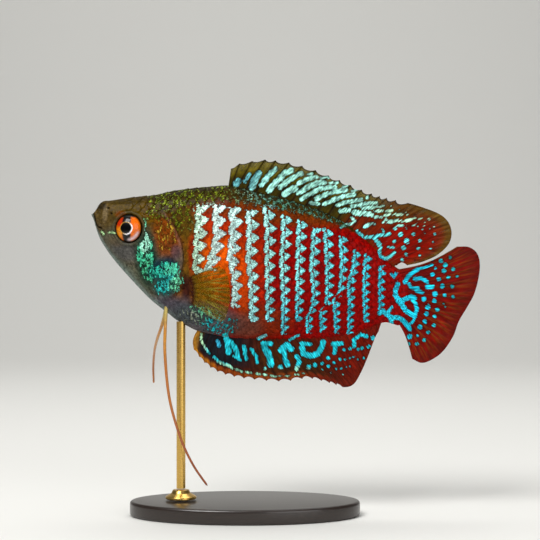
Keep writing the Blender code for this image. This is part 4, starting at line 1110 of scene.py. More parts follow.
def lay_scales(name, rows, side, seed, chart, facing, grow, lift_by):
    """Lays a copy of the scale at every place and joins them."""
    rng = np.random.default_rng(seed)
    count, each = len(rows), len(scale_points)
    at, share, space, row_height = [np.repeat(column, each) for column in rows.T]
    jitter = np.repeat(rng.normal(0, 1, (count, 4)), each, axis=0)
    out_a, out_b = np.tile(unit_a, count), np.tile(unit_b, count)
    a = out_a * space * np.where(out_a > 0, PLATE_REAR, PLATE_FRONT)
    b = out_b * row_height * grow * (1 - 0.15 * np.clip(out_a, 0, 1))
    along = at + a + jitter[:, 0] * 0.03
    round_it = share - (b + jitter[:, 1] * 0.02) / girth_at(along)
    across = np.where((round_it < 0) | (round_it > 1), -1, 1)
    round_it = np.where(round_it > 1, 2 - round_it, np.abs(round_it))
    spots = read_chart(chart, along, round_it)
    away = read_chart(facing, along, round_it)
    away /= np.linalg.norm(away, axis=1, keepdims=True) + 1e-9
    lift = np.where(out_a > 0, lift_by, PLATE_SINK) * out_a + PLATE_CLEAR
    lift = lift + PLATE_DOME * (1 - np.tile(reach, count) ** 2) + 0.01 * jitter[:, 2] * np.clip(out_a, 0, 1)
    spots = spots + away * (lift - np.tile(under, count) * PLATE_THICK)[:, None]
    spots[:, 1] *= -across * side
    coat = join_scales(name, spots, count, each, side)
    pattern = pattern_at(spots[:, 0], spots[:, 2], round_it)
    shade = (1 + 0.1 * jitter[:, 3])[:, None]
    pattern["ground"] = pattern["ground"] * shade
    pattern["gleam"] = np.clip(pattern["gleam"] * shade, 0, 1)
    pattern["rim"] = np.tile(reach, count) + 0.06 * jitter[:, 0] + 0.5 * (out_a < -0.2)
    store_all(coat, pattern)
    unwrap_scales(coat, rows, each)
    return coat


def join_scales(name, spots, count, each, side):
    """Makes one mesh of many copies of the scale, each with its own points."""
    corners = np.array([corner for face in scale_faces for corner in face])
    sizes = np.array([len(face) for face in scale_faces])
    loops = (corners[None, :] + each * np.arange(count)[:, None]).ravel()
    starts = np.concatenate([[0], np.cumsum(np.tile(sizes, count))[:-1]])
    mesh = bpy.data.meshes.new(name)
    mesh.vertices.add(count * each)
    mesh.loops.add(len(loops))
    mesh.polygons.add(count * len(sizes))
    mesh.vertices.foreach_set("co", in_row(*spots.T).ravel())
    mesh.loops.foreach_set("vertex_index", loops)
    mesh.polygons.foreach_set("loop_start", starts)
    mesh.update()
    mesh.validate()
    if side > 0:
        mesh.flip_normals()
    coat = bpy.data.objects.new(name, mesh)
    bpy.context.scene.collection.objects.link(coat)
    return coat


def unwrap_scales(coat, rows, each):
    """Gives each scale a small cell at its place on the skin's unwrap, with its top, wall and underside."""
    corners = np.array([corner for face in scale_faces for corner in face])
    below = np.array([bool(np.all(under[list(face)])) for face in scale_faces for _ in face])
    flare = np.where(below, 1.0, np.where(under[corners], 1.16, 1.0))
    cell_x = np.where(below, 0.36 + 0.1 * unit_a[corners], -0.13 + 0.27 * flare * unit_a[corners])
    cell_y = np.where(below, 0.36 * unit_b[corners], 0.36 * flare * unit_b[corners])
    grid_x = np.interp(rows[:, 0], STATIONS, GRID_LINES) + 0.5
    ahead, behind = (np.interp(rows[:, 0] + way * 0.5, STATIONS, GRID_LINES) for way in (-1, 1))
    wide = behind - ahead
    turn = read_chart(chart_turns, rows[:, 0], rows[:, 1]) / np.pi
    step = 0.25 / girth_at(rows[:, 0])
    before, after = (read_chart(chart_turns, rows[:, 0], rows[:, 1] + way * step) for way in (-1, 1))
    tall = (after - before) / np.pi / 0.5 * rows[:, 3]
    spread_x = grid_x[:, None] + (rows[:, 2] * wide)[:, None] * cell_x
    spread_y = turn[:, None] - tall[:, None] * cell_y
    spread = np.column_stack([spread_x.ravel(), spread_y.ravel()])
    coat.data.uv_layers.new(name="OFBake").data.foreach_set("uv", spread.ravel())


# %% Lay the coats
for side, word in ((-1, "left"), (1, "right")):
    coat = lay_scales(f"scales_{word}", rows, side, 11 + side, flank_chart, flank_facing, 1.04, 0.085)
    hand_over(coat, "skin", SKIN_FINISH)
    coat = lay_scales(f"head_scales_{word}", head, side, 31 + side, cheek_chart, cheek_facing, 1.08, 0.05)
    hand_over(coat, "skin", SKIN_FINISH)

# %% [markdown]
# ## The eyes
# A gourami's eye is a flat-faced ball: black pupil, a thin pale ring, and an orange iris crossed by a dark
# band above and below. On a museum model it is painted under clear lacquer, so one ball with a strong clear
# coat does it. It is added as a sphere, squashed to the eye's three radii and turned to face as the cheek
# does.

# %% The eye's finish and colours
def mottled_paint(name, grain, detail, mottle, **levels):
    """Paint whose colour is kept on each point, a little lighter and darker in grains of so many mm."""
    made, tree, surface = new_material(name)
    ground = add(tree, POINT, "ground").outputs["Color"]
    places = add(tree, PLACES).outputs["Object"]
    grains = add(tree, NOISE, Vector=places, Scale=1 / (grain * MM), Detail=detail)
    shade = add(tree, RANGE, Value=grains, From_Min=0.3, From_Max=0.7, To_Min=1 - mottle, To_Max=1 + mottle)
    connect(tree, surface, {"Base Color": add(tree, VECTORS, "SCALE", _0=ground, Scale=shade), **levels})
    return made


# The iris has fibres about 0.3 mm across. Clear lacquer over the paint gives the eye its wet, sharp glint.
EYE_PAINT = mottled_paint("lacquered_painted_eye", 0.3, 4.0, 0.25, Roughness=0.3, Specular_IOR_Level=0.1,
                          Coat_Weight=0.4, Coat_Roughness=0.02)
PUPIL_RADIUS, PUPIL_AHEAD, PALE_RING = 1.13, 0.3, 0.2  # mm


def eye_looks(sign):
    """The eye's middle and the way it looks, from the slope of the cheek round it."""
    step = 2.0
    places = np.array([EYE_ALONG + step, EYE_ALONG - step, EYE_ALONG, EYE_ALONG, EYE_ALONG])
    ups = np.array([EYE_UP, EYE_UP, EYE_UP + step, EYE_UP - step, EYE_UP])
    ahead, behind, above, below, here = side_of(places, ups)
    depth = here + EYE_STANDS_OUT - EYE_HALF_DEPTH
    way = Vector((-(ahead - behind) / (2 * step), sign, -(above - below) / (2 * step))).normalized()
    return Vector((EYE_ALONG, sign * depth, EYE_UP)), way


def make_eye(name, sign):
    start_clean()
    bpy.ops.mesh.primitive_uv_sphere_add(segments=72, ring_count=64, radius=1)
    eye = named(name)
    local = points_of(eye)
    face = local[:, 2]
    across, tall = local[:, 0], local[:, 1]
    from_pupil = np.hypot(across * EYE_HALF_LENGTH + PUPIL_AHEAD, tall * EYE_HALF_HEIGHT)
    rim = np.hypot(across, tall)
    colours = layered(
        "#d4640a",
        ("#b81c04", 0.9 * patch(across, tall, (-0.52, 0.42), (0.42, 0.4))),
        ("#d88a10", 0.7 * patch(across, tall, (-0.62, -0.3), (0.35, 0.4))),
        ("#f06c08", 0.8 * patch(across, tall, (0.5, 0.25), (0.4, 0.5))),
    )
    band = np.abs(across + 0.08) + 0.1 * np.abs(tall)
    colours = washed(colours, "#050403", fade(band, 0.44, 0.3) * fade(np.abs(tall), 0.3, 0.42))
    colours = washed(colours, "#1c2422", fade(tall, 0.7, 0.84) * fade(rim, 0.72, 0.86))
    # Painted glint: a whitish-pink reflection along the lower rear rim of the eye.
    painted_glint = patch(across, tall, (0.42, -0.62), (0.34, 0.4), 0.9) * bump(rim, 0.8, 0.1)
    colours = washed(colours, "#d8c0c4", 0.9 * painted_glint)
    white = fade(across + 0.6 * -tall, -0.25, 0.3)
    ring = PALE_RING * (0.45 + 0.75 * white)
    pale = paint("#c89a3c") * (1 - white[:, None]) + paint("#f0ecf0") * white[:, None]
    ringed = fade(from_pupil, PUPIL_RADIUS + ring + 0.05, PUPIL_RADIUS + ring - 0.03)[:, None]
    colours = colours * (1 - ringed) + pale * ringed
    colours = washed(colours, "#010101", fade(from_pupil, PUPIL_RADIUS + 0.04, PUPIL_RADIUS - 0.04))
    colours = washed(colours, "#2a1c08", fade(rim, 0.88, 0.96))
    colours = np.where((face < 0)[:, None], paint("#241508"), colours)
    store(eye, "ground", colours)
    centre, way = eye_looks(sign)
    upright = Vector((0, 0, 1))
    rearwards = Vector((1, 0, 0))
    rearwards = (rearwards - way * rearwards.dot(way)).normalized()
    upright = (upright - way * upright.dot(way) - rearwards * upright.dot(rearwards)).normalized()
    spots = (
        np.outer(across * EYE_HALF_LENGTH, rearwards) + np.outer(tall * EYE_HALF_HEIGHT, upright)
        + np.outer(face * EYE_HALF_DEPTH, way) + np.array(centre)
    )
    set_points(eye, in_row(*spots.T))
    turn_outwards(eye)
    return eye


for word, sign in (("left", -1), ("right", 1)):
    hand_over(make_eye(f"{word}_eye", sign), "eye", EYE_PAINT, f"eye_{word}")

# %% [markdown]
# ## The fins
# A fin is a thin membrane stretched over rays. A flat grid is added, one way for the rays from first to last
# and the other from root to margin, and each point goes to its place. A vertex group then says how thick each
# point is, most on the rays, and Solidify gives the sheet its two faces and its rim.

# %% The fins' lines
FIN_SINK = 0.9
DORSAL_ROOTS = [
    (0.0, 27.3), (0.042, 27.7), (0.125, 30.5), (0.25, 37.0), (0.375, 45.0), (0.5, 50.4), (0.625, 54.1),
    (0.75, 56.7), (1.0, 60.2),
]
DORSAL_TIPS = [
    (0.0, 0.0), (0.042, 0.067), (0.125, 0.195), (0.167, 0.229), (0.25, 0.302), (0.333, 0.37), (0.5, 0.47),
    (0.625, 0.533), (0.75, 0.64), (0.833, 0.72), (0.917, 0.827), (1.0, 1.0),
]
DORSAL_MARGIN = [
    (27.9, 69.3), (29.6, 70.3), (32.1, 70.8), (35.0, 71.1), (39.6, 70.5), (44.5, 69.1), (49.9, 66.9),
    (55.8, 64.4), (60.9, 63.0), (65.7, 61.7), (70.0, 59.9), (71.8, 57.5), (71.6, 54.6), (69.4, 52.2),
    (66.3, 50.7), (63.1, 49.95),
]
DORSAL_SPINES, DORSAL_RAYS, DORSAL_NOTCH, DORSAL_ARCH, DORSAL_SWAY = 16, 25, 0.065, 0.9, 0.5
ANAL_BASE = (21.6, 58.2)
ANAL_MARGIN = [
    (20.5, 33.0), (22.4, 30.6), (25.0, 28.7), (28.5, 27.6), (33.0, 27.0), (38.4, 26.7), (43.5, 27.3),
    (47.5, 26.4), (50.4, 25.6), (52.4, 26.2), (53.9, 28.6), (55.3, 31.8), (56.6, 35.2), (57.4, 36.8),
]
ANAL_SPINES, ANAL_RAYS, ANAL_TIPS, ANAL_NOTCH, ANAL_ARCH, ANAL_SWAY = 17, 30, 0.93, 0.055, 0.7, 0.4
TAIL_BASE = [(61.7, 49.2), (61.9, 43.6), (61.7, 37.9)]
TAIL_MARGIN = [
    (73.2, 53.7), (75.6, 53.6), (77.2, 52.4), (77.8, 50.4), (77.6, 47.6), (76.7, 44.2), (75.2, 41.4),
    (73.6, 38.7), (72.4, 35.6), (70.3, 32.6), (67.9, 30.9), (66.0, 30.4), (64.2, 31.2),
]
TAIL_RAYS, TAIL_ARCH, TAIL_BEND, TAIL_CUP = 15, 0.8, 1.3, 2.2
PECTORAL_BASE = [(19.1, 47.3), (19.3, 45.1), (19.6, 42.9)]
PECTORAL_MARGIN = [
    (25.7, 49.8), (27.2, 48.4), (27.8, 45.6), (27.8, 43.0), (27.2, 40.4), (26.3, 38.9), (24.4, 39.4),
]
PECTORAL_RAYS, PECTORAL_OUT, PECTORAL_FLARE = 9, 1.9, 0.8


def scalloped(share, rays, spines, depth):
    """How far the margin dips between the free tips of the spines."""
    spot = share * (rays - 1)
    dip = np.abs(np.sin(np.pi * spot)) ** 0.8
    return np.where(spot > spines, 0, depth * dip)


def dorsal_place(share, out):
    along = line_at(DORSAL_ROOTS, share)
    root = np.column_stack([along, line_at(BACK_LINE, along) - FIN_SINK])
    tip = path_at(DORSAL_MARGIN, line_at(DORSAL_TIPS, share))
    reach = (out * (1 - scalloped(share, DORSAL_RAYS, DORSAL_SPINES, DORSAL_NOTCH)))[:, None]
    spot = root * (1 - reach) + tip * reach
    spot[:, 1] += DORSAL_ARCH * np.sin(np.pi * out) * share
    return spot[:, 0], DORSAL_SWAY * np.sin(5 * share) * out * share, spot[:, 1]


def anal_place(share, out):
    along = ANAL_BASE[0] + (ANAL_BASE[1] - ANAL_BASE[0]) * share
    root = np.column_stack([along, line_at(BELLY_LINE, along) + FIN_SINK])
    tip = path_at(ANAL_MARGIN, share ** ANAL_TIPS)
    reach = (out * (1 - scalloped(share, ANAL_RAYS, ANAL_SPINES, ANAL_NOTCH)))[:, None]
    spot = root * (1 - reach) + tip * reach
    spot[:, 0] -= ANAL_ARCH * np.sin(np.pi * out) * (1 - share)
    return spot[:, 0], ANAL_SWAY * np.sin(6 * share + 0.6) * out, spot[:, 1]


def tail_place(share, out):
    root, tip = path_at(TAIL_BASE, share), path_at(TAIL_MARGIN, share)
    spot = root + (tip - root) * out[:, None]
    spot[:, 1] -= TAIL_ARCH * np.sin(np.pi * np.clip(out, 0, 1)) * (1 - 2 * share)
    bend = TAIL_BEND * np.clip(out, 0, 1) ** 1.6 * np.cos(TAIL_CUP * (share - 0.45))
    return spot[:, 0], bend, spot[:, 1]


def pectoral_place(sign):
    def place(share, out):
        root, tip = path_at(PECTORAL_BASE, share), path_at(PECTORAL_MARGIN, share)
        spot = root + (tip - root) * out[:, None]
        away = -FIN_SINK + (PECTORAL_OUT + FIN_SINK) * out ** PECTORAL_FLARE
        return spot[:, 0], sign * (side_of(spot[:, 0], spot[:, 1]) + away), spot[:, 1]

    return place


# %% Make a fin
MEMBRANE_ROOT, MEMBRANE_TIP, RAY_ROOT, RAY_TIP = 0.26, 0.13, 0.5, 0.22  # mm thick
RAY_WEAVE = 1.4  # mm from ray to ray in the grain, which runs out along the rays


def ray_ridge(share, out, rays, spines):
    """1 on a ray and 0 between rays. Soft rays fork on their way out, and again near the margin."""
    spot = share * (rays - 1)
    off = spot - np.round(spot)
    spine = bump(off, 0, 0.1)
    fork = 0.2 * fade(out, 0.3, 0.85)
    twig = 0.09 * fade(out, 0.62, 1.0)
    soft = np.zeros(len(share))
    for a in (-1, 1):
        for b in (-1, 1):
            soft = np.maximum(soft, bump(off, a * fork + b * twig, 0.075))
    return np.where(np.round(spot) < spines, spine, soft)


def make_fin(name, place, rays, spines, columns, rows, start, root_flesh):
    """A finned sheet as a closed, shaped mesh. Returns it with each point's share, out and ridge."""
    start_clean()
    bpy.ops.mesh.primitive_grid_add(x_subdivisions=(rays - 1) * columns, y_subdivisions=rows, size=1)
    fin = named(name)
    flat = points_of(fin)
    share = np.clip(flat[:, 0] + 0.5, 0, 1)
    out = start + (1 - start) * (flat[:, 1] + 0.5)
    along, side, up = place(share, out)
    set_points(fin, in_row(along, side, up))
    ridge = ray_ridge(share, out, rays, spines)
    body = np.clip(out, 0, 1)
    thick = MEMBRANE_ROOT + (MEMBRANE_TIP - MEMBRANE_ROOT) * body
    on_ray = RAY_ROOT + (RAY_TIP - RAY_ROOT) * body
    thick = thick + (on_ray - thick) * ridge + root_flesh * (1 - body) ** 3
    most = float(thick.max())
    group = fin.vertex_groups.new(name="thickness")
    for k, value in enumerate(thick / most):
        group.add([k], float(value), "REPLACE")
    store(fin, "share", share)
    store(fin, "out", out)
    store(fin, "ridge", ridge)
    store(fin, "weave", np.column_stack([share * rays * RAY_WEAVE, out * 2.0, share]) * MM)
    skin_of = fin.modifiers.new("two faces", "SOLIDIFY")
    skin_of.thickness = most * MM
    skin_of.offset = 0
    skin_of.vertex_group = "thickness"
    apply_all(fin)
    turn_outwards(fin)
    fin.vertex_groups.clear()
    return fin


def in_side_view(piece):
    places = points_of(piece) / MM
    return places[:, 0] - SNOUT_X, places[:, 2]


# %% [markdown]
# The dorsal fin has long pale streaks between its spines and rows of spots between its soft rays. The streaks
# run up and back with the spines. Its free edge is olive brown with a dark line, and its rear end is red
# between the spots.

# %% Dorsal fin
dorsal = make_fin("fin_dorsal", dorsal_place, DORSAL_RAYS, DORSAL_SPINES, 12, 44, 0.0, 0.25)


def dorsal_colours(fin):
    along, up = in_side_view(fin)
    share, out, ridge = read(fin, "share"), read(fin, "out"), read(fin, "ridge")
    ground = layered(
        "#3a3008",
        ("#6c6010", 0.9 * fade(out, 0.4, 0.8)),
        ("#5a2c0a", 0.8 * fade(share, 0.45, 0.65) * fade(out, 0.3, 0.8)),
        ("#860a02", 0.95 * patch(along, up, (63.0, 54.6), (8.0, 5.2), 0.4)),
        ("#7a1404", 0.7 * patch(along, up, (55.0, 58.0), (5.0, 3.0))),
        ("#6a5416", 0.7 * fade(out, 0.85, 0.95) * fade(share, 0.6, 0.8)),
        ("#1c0e04", 0.95 * ridge * fade(share, 0.68, 0.5)),
        ("#4a1c08", 0.5 * ridge * fade(share, 0.5, 0.7)),
        ("#1c1004", 0.8 * fade(out, 0.95, 0.98) * fade(share, 0.75, 0.65)),
    )
    store(fin, "ground", ground)
    gleam = layered(
        "#9cdccc",
        ("#3f93a5", 0.75 * fade(share, 0.22, 0.1)),
        ("#c8dca0", 0.5 * fade(share, 0.5, 0.7) * fade(out, 0.4, 0.8)),
        ("#48d4dc", 0.8 * fade(up, 58.6, 56.4)),
    )
    store(fin, "gleam", gleam)
    between_rays = 0.4 * ridge * fade(share, 0.5, 0.64)
    store(fin, "mark", streak_field(along, up, DORSAL_STREAKS + DORSAL_SPOTS) - between_rays)
    clear = fade(out, 0.5, 0.95) * (0.22 - 0.06 * fade(share, 0.5, 0.7))
    store(fin, "solid", 1 - clear * (1 - 0.85 * ridge))


dorsal_colours(dorsal)
hand_over(dorsal, "fin", FIN_FINISH, "dorsal_fin")

# %% [markdown]
# The anal fin runs under the whole belly. Its front is blue-black, a dashed pale line follows its scalloped
# orange edge, broad turquoise strokes cross its middle, and small spots in rows fill its rear lobe.

# %% Anal fin
anal = make_fin("fin_anal", anal_place, ANAL_RAYS, ANAL_SPINES, 10, 36, 0.0, 0.25)


def anal_colours(fin):
    along, up = in_side_view(fin)
    share, out, ridge = read(fin, "share"), read(fin, "out"), read(fin, "ridge")
    ground = layered(
        "#6a1204",
        ("#3a1a06", 0.8 * fade(share, 0.75, 0.5)),
        ("#141a20", 0.95 * fade(share, 0.34, 0.2) * fade(out, 0.86, 0.7)),
        ("#3a2408", 0.6 * patch(share, out, (0.42, 0.6), (0.14, 0.4))),
        ("#8c3c06", 0.95 * fade(out, 0.84, 0.9) * fade(share, 0.6, 0.4)),
        ("#6c1804", 0.9 * fade(out, 0.84, 0.92) * fade(share, 0.35, 0.5)),
        ("#b06c14", 0.9 * fade(out, 0.8, 0.9) * fade(share, 0.16, 0.06)),
        ("#c08424", 0.8 * fade(share, 0.05, 0.0)),
        ("#2a0c04", 0.45 * ridge),
    )
    store(fin, "ground", ground)
    gleam = layered(
        "#22bccc",
        ("#9cd4ac", 0.85 * fade(out, 0.7, 0.8) * fade(share, 0.72, 0.6)),
        ("#b8dca0", 0.8 * fade(share, 0.1, 0.05)),
        ("#3c90c4", 0.6 * patch(along, up, (25.4, 34.0), (1.2, 1.6))),
    )
    store(fin, "gleam", gleam)
    store(fin, "mark", streak_field(along, up, ANAL_STREAKS + ANAL_SPOTS))
    store(fin, "solid", 1 - 0.08 * fade(out, 0.6, 1.0) * (1 - 0.5 * ridge))


anal_colours(anal)
hand_over(anal, "fin", FIN_FINISH, "anal_fin")

# %% [markdown]
# The tail fin carries a net of turquoise at its base, then round spots in rows between the rays, and a wide
# plain margin of dark red. Its root is sunk in the rounded end of the body.

# %% Tail fin
tail = make_fin("fin_tail", tail_place, TAIL_RAYS, 0, 16, 52, -0.06, 0.5)


def tail_colours(fin):
    along, up = in_side_view(fin)
    share, out, ridge = read(fin, "share"), read(fin, "out"), read(fin, "ridge")
    ground = layered(
        "#7a0a02",
        ("#500402", 0.5 * patch(share, out, (0.5, 0.35), (0.5, 0.35))),
        ("#5c0c04", 0.7 * fade(out, 0.74, 0.92)),
        ("#7a4a10", 0.45 * fade(share, 0.03, 0.0)),
        ("#70400e", 0.45 * ridge * fade(out, 0.25, 0.55) * fade(out, 1.0, 0.78)),
    )
    store(fin, "ground", ground)
    gleam = np.tile(paint("#1cc0dc"), (len(along), 1))
    gleam = washed(gleam, "#2a9c94", 0.8 * fade(out, 0.4, 0.75))
    store(fin, "gleam", gleam)
    store(fin, "mark", streak_field(along, up, TAIL_STREAKS + TAIL_SPOTS))
    store(fin, "solid", 1 - 0.08 * fade(out, 0.5, 1.0) * (1 - 0.5 * ridge))


tail_colours(tail)
hand_over(tail, "fin", FIN_FINISH, "tail_fin")

# %% [markdown]
# The pectoral fins are clear, with fine dark rays: the flank shows through them. Each grows from a small dark
# red lobe of muscle.

# %% Pectoral fins
def pectoral_colours(fin):
    along, up = in_side_view(fin)
    share, out, ridge = read(fin, "share"), read(fin, "out"), read(fin, "ridge")
    ground = layered(
        "#96800c",
        ("#2c2006", 0.9 * ridge),
        ("#b4b040", 0.5 * ridge * bump(out, 0.66, 0.16)),
        ("#3c140c", fade(out, 0.34, 0.14)),
    )
    store(fin, "ground", ground)
    store(fin, "gleam", np.tile(paint("#7fc8a0"), (len(along), 1)))
    store(fin, "mark", np.full(len(along), FAR_OUTSIDE))
    store(fin, "solid", np.minimum(1, 0.1 + 0.5 * ridge + 0.8 * fade(out, 0.36, 0.12)))


for word, sign in (("left", -1), ("right", 1)):
    fin = make_fin(f"fin_pectoral_{word}", pectoral_place(sign), PECTORAL_RAYS, 0, 12, 36, 0.0, 0.6)
    pectoral_colours(fin)
    hand_over(fin, "fin", FIN_FINISH, f"pectoral_fin_{word}")

# %% [markdown]
# ## The feelers
# The pelvic fins of a gourami are two long feelers, each one ray. A curve with a round bevel follows the
# route, thinner towards its tip, and is then converted to a mesh. Yellow at the root, orange further on.

# %% Feelers
NEAR_FEELER = [
    (15.0, -0.7, 42.2), (14.95, -1.1, 40.2), (14.85, -1.7, 37.0), (14.8, -2.2, 34.0), (14.95, -2.6, 31.0),
    (15.3, -2.9, 27.0), (15.9, -3.1, 23.0), (17.0, -3.2, 18.8), (18.6, -3.1, 14.2), (20.7, -2.9, 10.0),
    (23.3, -2.6, 6.2),
]
FAR_FEELER = [
    (14.9, 0.7, 42.2), (14.5, 1.8, 40.0), (13.7, 4.0, 37.5), (12.7, 7.4, 35.2), (11.9, 11.4, 33.2),
    (11.3, 15.4, 31.0), (10.9, 18.8, 28.2), (10.8, 21.2, 24.8),
]
FEELER_ROOT_RADIUS, FEELER_TIP_RADIUS = 0.36, 0.22

# Skin stretched over one ray, with faint blotches half a millimetre across and a wet gloss.
FEELER_SKIN = mottled_paint("feeler_skin", 0.5, 3.0, 0.2, Roughness=0.36, Coat_Weight=0.3)


def make_feeler(name, route):
    start_clean()
    spots = path_at(route, np.linspace(0, 1, 120))
    bpy.ops.curve.primitive_nurbs_path_add()
    piece = named(name)
    piece.data.splines.clear()
    spline = piece.data.splines.new("POLY")
    spline.points.add(len(spots) - 1)
    rows_in = in_row(*spots.T)
    for k, point in enumerate(spline.points):
        share = k / (len(spots) - 1)
        point.co = (*rows_in[k], 1)
        taper = FEELER_ROOT_RADIUS + (FEELER_TIP_RADIUS - FEELER_ROOT_RADIUS) * share
        round_end = math.sqrt(max(1 - max(0, (share - 0.985) / 0.015) ** 2, 0.02))
        point.radius = taper * round_end / FEELER_ROOT_RADIUS
    piece.location = (0, 0, 0)
    piece.data.dimensions = "3D"
    piece.data.bevel_depth = FEELER_ROOT_RADIUS * MM
    piece.data.bevel_resolution = 5
    piece.data.use_fill_caps = True
    bpy.ops.object.convert(target="MESH")
    piece = bpy.context.object
    turn_outwards(piece)
    up = points_of(piece)[:, 2] / MM
    colours = layered(
        "#b0651a",
        ("#b8a458", fade(up, 36.0, 41.0)),
        ("#c88a28", 0.8 * bump(up, 35.0, 3.0)),
        ("#9a4a10", fade(up, 26.0, 12.0)),
    )
    store(piece, "ground", colours)
    return piece


for word, route in (("left", NEAR_FEELER), ("right", FAR_FEELER)):
    nodes = [f"feeler_{word}_{length}" for length in ("root", "middle", "tip")]
    hand_over(make_feeler(f"pelvic_feeler_{word}", route), "feeler", FEELER_SKIN, *nodes)

# %% [markdown]
# ## The stand
# The fish swims clear of the floor, so a museum would hold it on a rod. The base is an oval board of ebonised
# wood. The rod and its foot are turned brass. Each starts as a cylinder or a turned profile.

# %% Stand base
BASE_LENGTH, BASE_WIDTH, BASE_HEIGHT, BASE_BEVEL = 46.0, 26.0, 3.0, 0.6
start_clean()
bpy.ops.mesh.primitive_cylinder_add(vertices=144, radius=0.5, depth=1, location=(0, 0, 0))
base = named("oval_base")
places = points_of(base)
places[:, 2] += 0.5
set_points(base, places * np.array([BASE_LENGTH, BASE_WIDTH, BASE_HEIGHT]) * MM)
soften(base, BASE_BEVEL, 5)


def grained(name, stretch, grain, detail, dark, light):
    """Two shades in long grains of so many mm. Returns the material, its tree, its shader and the grains."""
    made, tree, surface = new_material(name)
    drawn_out = add(tree, MAPPING, Vector=add(tree, PLACES).outputs["Object"], Scale=stretch)
    grains = add(tree, NOISE, Vector=drawn_out, Scale=1 / (grain * MM), Detail=detail)
    shades = add(tree, MIX, "RGBA", _0=grains, _6=(*paint(dark), 1), _7=(*paint(light), 1))
    connect(tree, surface, {"Base Color": shades})
    return made, tree, surface, grains


# Beech stained black and waxed: its pores, a third of a millimetre wide, are drawn out along the board.
wood, tree, surface, pores = grained("ebonised_beech", (0.06, 1.0, 1.0), 0.35, 5.0, "#15100d", "#33261f")
relief = add(tree, BUMP, Height=pores, Strength=0.35, Distance=0.05 * MM)
connect(tree, surface, {"Normal": relief, "Roughness": 0.32, "Coat Weight": 0.25})
hand_over(base, "wood", wood, "stand_base")
base.data.set_sharp_from_angle(angle=math.radians(35))

# %% Rod and foot
ROD_RADIUS = 0.9  # mm
FOOT_PROFILE = [(3.1, 0.0), (3.1, 0.45), (2.5, 0.8), (1.9, 1.15), (1.6, 1.8)]  # radius and height, mm
FOOT_BEVEL = 0.12  # mm
rod_low, rod_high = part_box("stand_rod")
foot_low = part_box("stand_foot")[0]
rod_x = float((rod_low.x + rod_high.x) / 2)

# Brass turned on a lathe: the tool leaves fine rings, about 0.06 mm apart, that vary its gloss.
brass, tree, surface, rings = grained("turned_brass", (0.05, 0.05, 1.0), 0.06, 2.0, "#c89c4a", "#e0bc6c")
connect(tree, surface, {"Roughness": add(tree, RANGE, Value=rings, To_Min=0.2, To_Max=0.36), "Metallic": 1.0})

start_clean()
rod_length = rod_high.z - rod_low.z
bpy.ops.mesh.primitive_cylinder_add(vertices=48, radius=ROD_RADIUS * MM, depth=rod_length,
                                    location=(rod_x, 0, (rod_low.z + rod_high.z) / 2))
rod = named("brass_rod")
bpy.ops.object.transform_apply(location=True)
hand_over(rod, "brass", brass, "stand_rod")
rod.data.set_sharp_from_angle(angle=math.radians(35))

start_clean()
bpy.ops.mesh.primitive_circle_add(vertices=64, radius=FOOT_PROFILE[0][0] * MM, fill_type="NGON",
                                  location=(rod_x, 0, foot_low.z))
foot = named("brass_foot")
bpy.ops.object.transform_apply(location=True)
bpy.ops.object.mode_set(mode="EDIT")
bpy.ops.mesh.select_all(action="SELECT")
for (wide, low), (narrow, high) in zip(FOOT_PROFILE, FOOT_PROFILE[1:]):
    bpy.ops.mesh.extrude_region_move(TRANSFORM_OT_translate={"value": (0, 0, (high - low) * MM)})
    bpy.ops.transform.resize(value=(narrow / wide, narrow / wide, 1), center_override=(rod_x, 0, 0))
bpy.ops.object.mode_set(mode="OBJECT")
turn_outwards(foot)
soften(foot, FOOT_BEVEL, 3)
hand_over(foot, "brass", brass, "stand_foot")
foot.data.set_sharp_from_angle(angle=math.radians(40))

# %% [markdown]
# ## Floor, light and camera
# A plain pale sweep: the floor curves up into the backdrop, so no horizon cuts the view. One large soft light
# from the camera's side shows the colours as a flash does, with a weaker one from the right and one above.

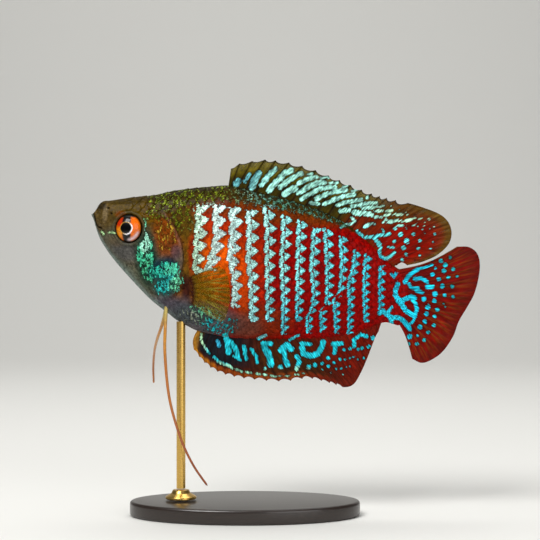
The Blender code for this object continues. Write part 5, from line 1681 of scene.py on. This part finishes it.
# %% Floor and backdrop
start_clean()
bpy.ops.mesh.primitive_grid_add(x_subdivisions=2, y_subdivisions=60, size=1)
floor = named("floor")
places = points_of(floor)
run = places[:, 1] + 0.5
SWEEP_FRONT, SWEEP_START, SWEEP_RADIUS, SWEEP_HEIGHT, SWEEP_WIDTH = -1.2, 0.5, 0.35, 1.2, 3.0  # metres
arc_length = SWEEP_RADIUS * math.pi / 2
walk = SWEEP_FRONT + run * (SWEEP_START - SWEEP_FRONT + arc_length + SWEEP_HEIGHT)
turned_by = np.clip((walk - SWEEP_START) / SWEEP_RADIUS, 0, math.pi / 2)
floor_y = np.minimum(walk, SWEEP_START) + SWEEP_RADIUS * np.sin(turned_by)
floor_z = SWEEP_RADIUS * (1 - np.cos(turned_by)) + np.maximum(walk - SWEEP_START - arc_length, 0)
set_points(floor, np.column_stack([places[:, 0] * SWEEP_WIDTH, floor_y, floor_z]))
floor.data.shade_smooth()
paper, tree, surface = new_material("pale_paper")
connect(tree, surface, {"Base Color": (*paint("#e4e3de"), 1), "Roughness": 0.85})
floor.data.materials.append(paper)
floor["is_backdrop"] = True

# %% Lights
def soft_light(name, place, aim, size, power, colour="#ffffff"):
    bpy.ops.object.light_add(type="AREA", location=place)
    light = bpy.context.object
    light.name = name
    light.data.size = size
    light.data.energy = power
    light.data.color = paint(colour)
    light.rotation_euler = (Vector(aim) - Vector(place)).to_track_quat("-Z", "Y").to_euler()


MIDDLE = (0.008, 0.0, 0.048)
soft_light("key", (-0.2, -0.3, 0.46), MIDDLE, 0.24, 2.5)
soft_light("fill", (0.3, -0.45, 0.2), MIDDLE, 0.4, 1.1)
soft_light("top", (0.05, 0.12, 0.5), MIDDLE, 0.4, 0.9)
soft_light("backdrop_light", (0.0, 0.25, 0.75), (0.0, 0.86, 0.2), 0.5, 2.4)
world = bpy.data.worlds.new("soft room")
bpy.context.scene.world = world
world.use_nodes = True
background = world.node_tree.nodes["Background"]
connect(world.node_tree, background, {"Color": (*paint("#e8eaee"), 1), "Strength": 0.12})
bpy.context.scene.view_settings.view_transform = "Standard"  # so a painted colour shows as it was picked

# %% Camera
CAMERA_BACK = 0.3  # metres from the fish's middle plane, as close as a small fish is photographed
bpy.ops.object.camera_add(location=(0.005, -CAMERA_BACK, 0.049), rotation=(math.pi / 2, 0, 0))
camera = bpy.context.object
camera.data.lens = 100
camera.data.sensor_width = 36
camera.data.clip_start = 0.01
bpy.context.scene.camera = camera

# %% Compare the sizes and finish
low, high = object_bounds()
beyond = zip([*high, *CAD_LOW], [*CAD_HIGH, *low])
print("grown beyond the solids, mm:", [round((a - b) / MM, 2) for a, b in beyond])
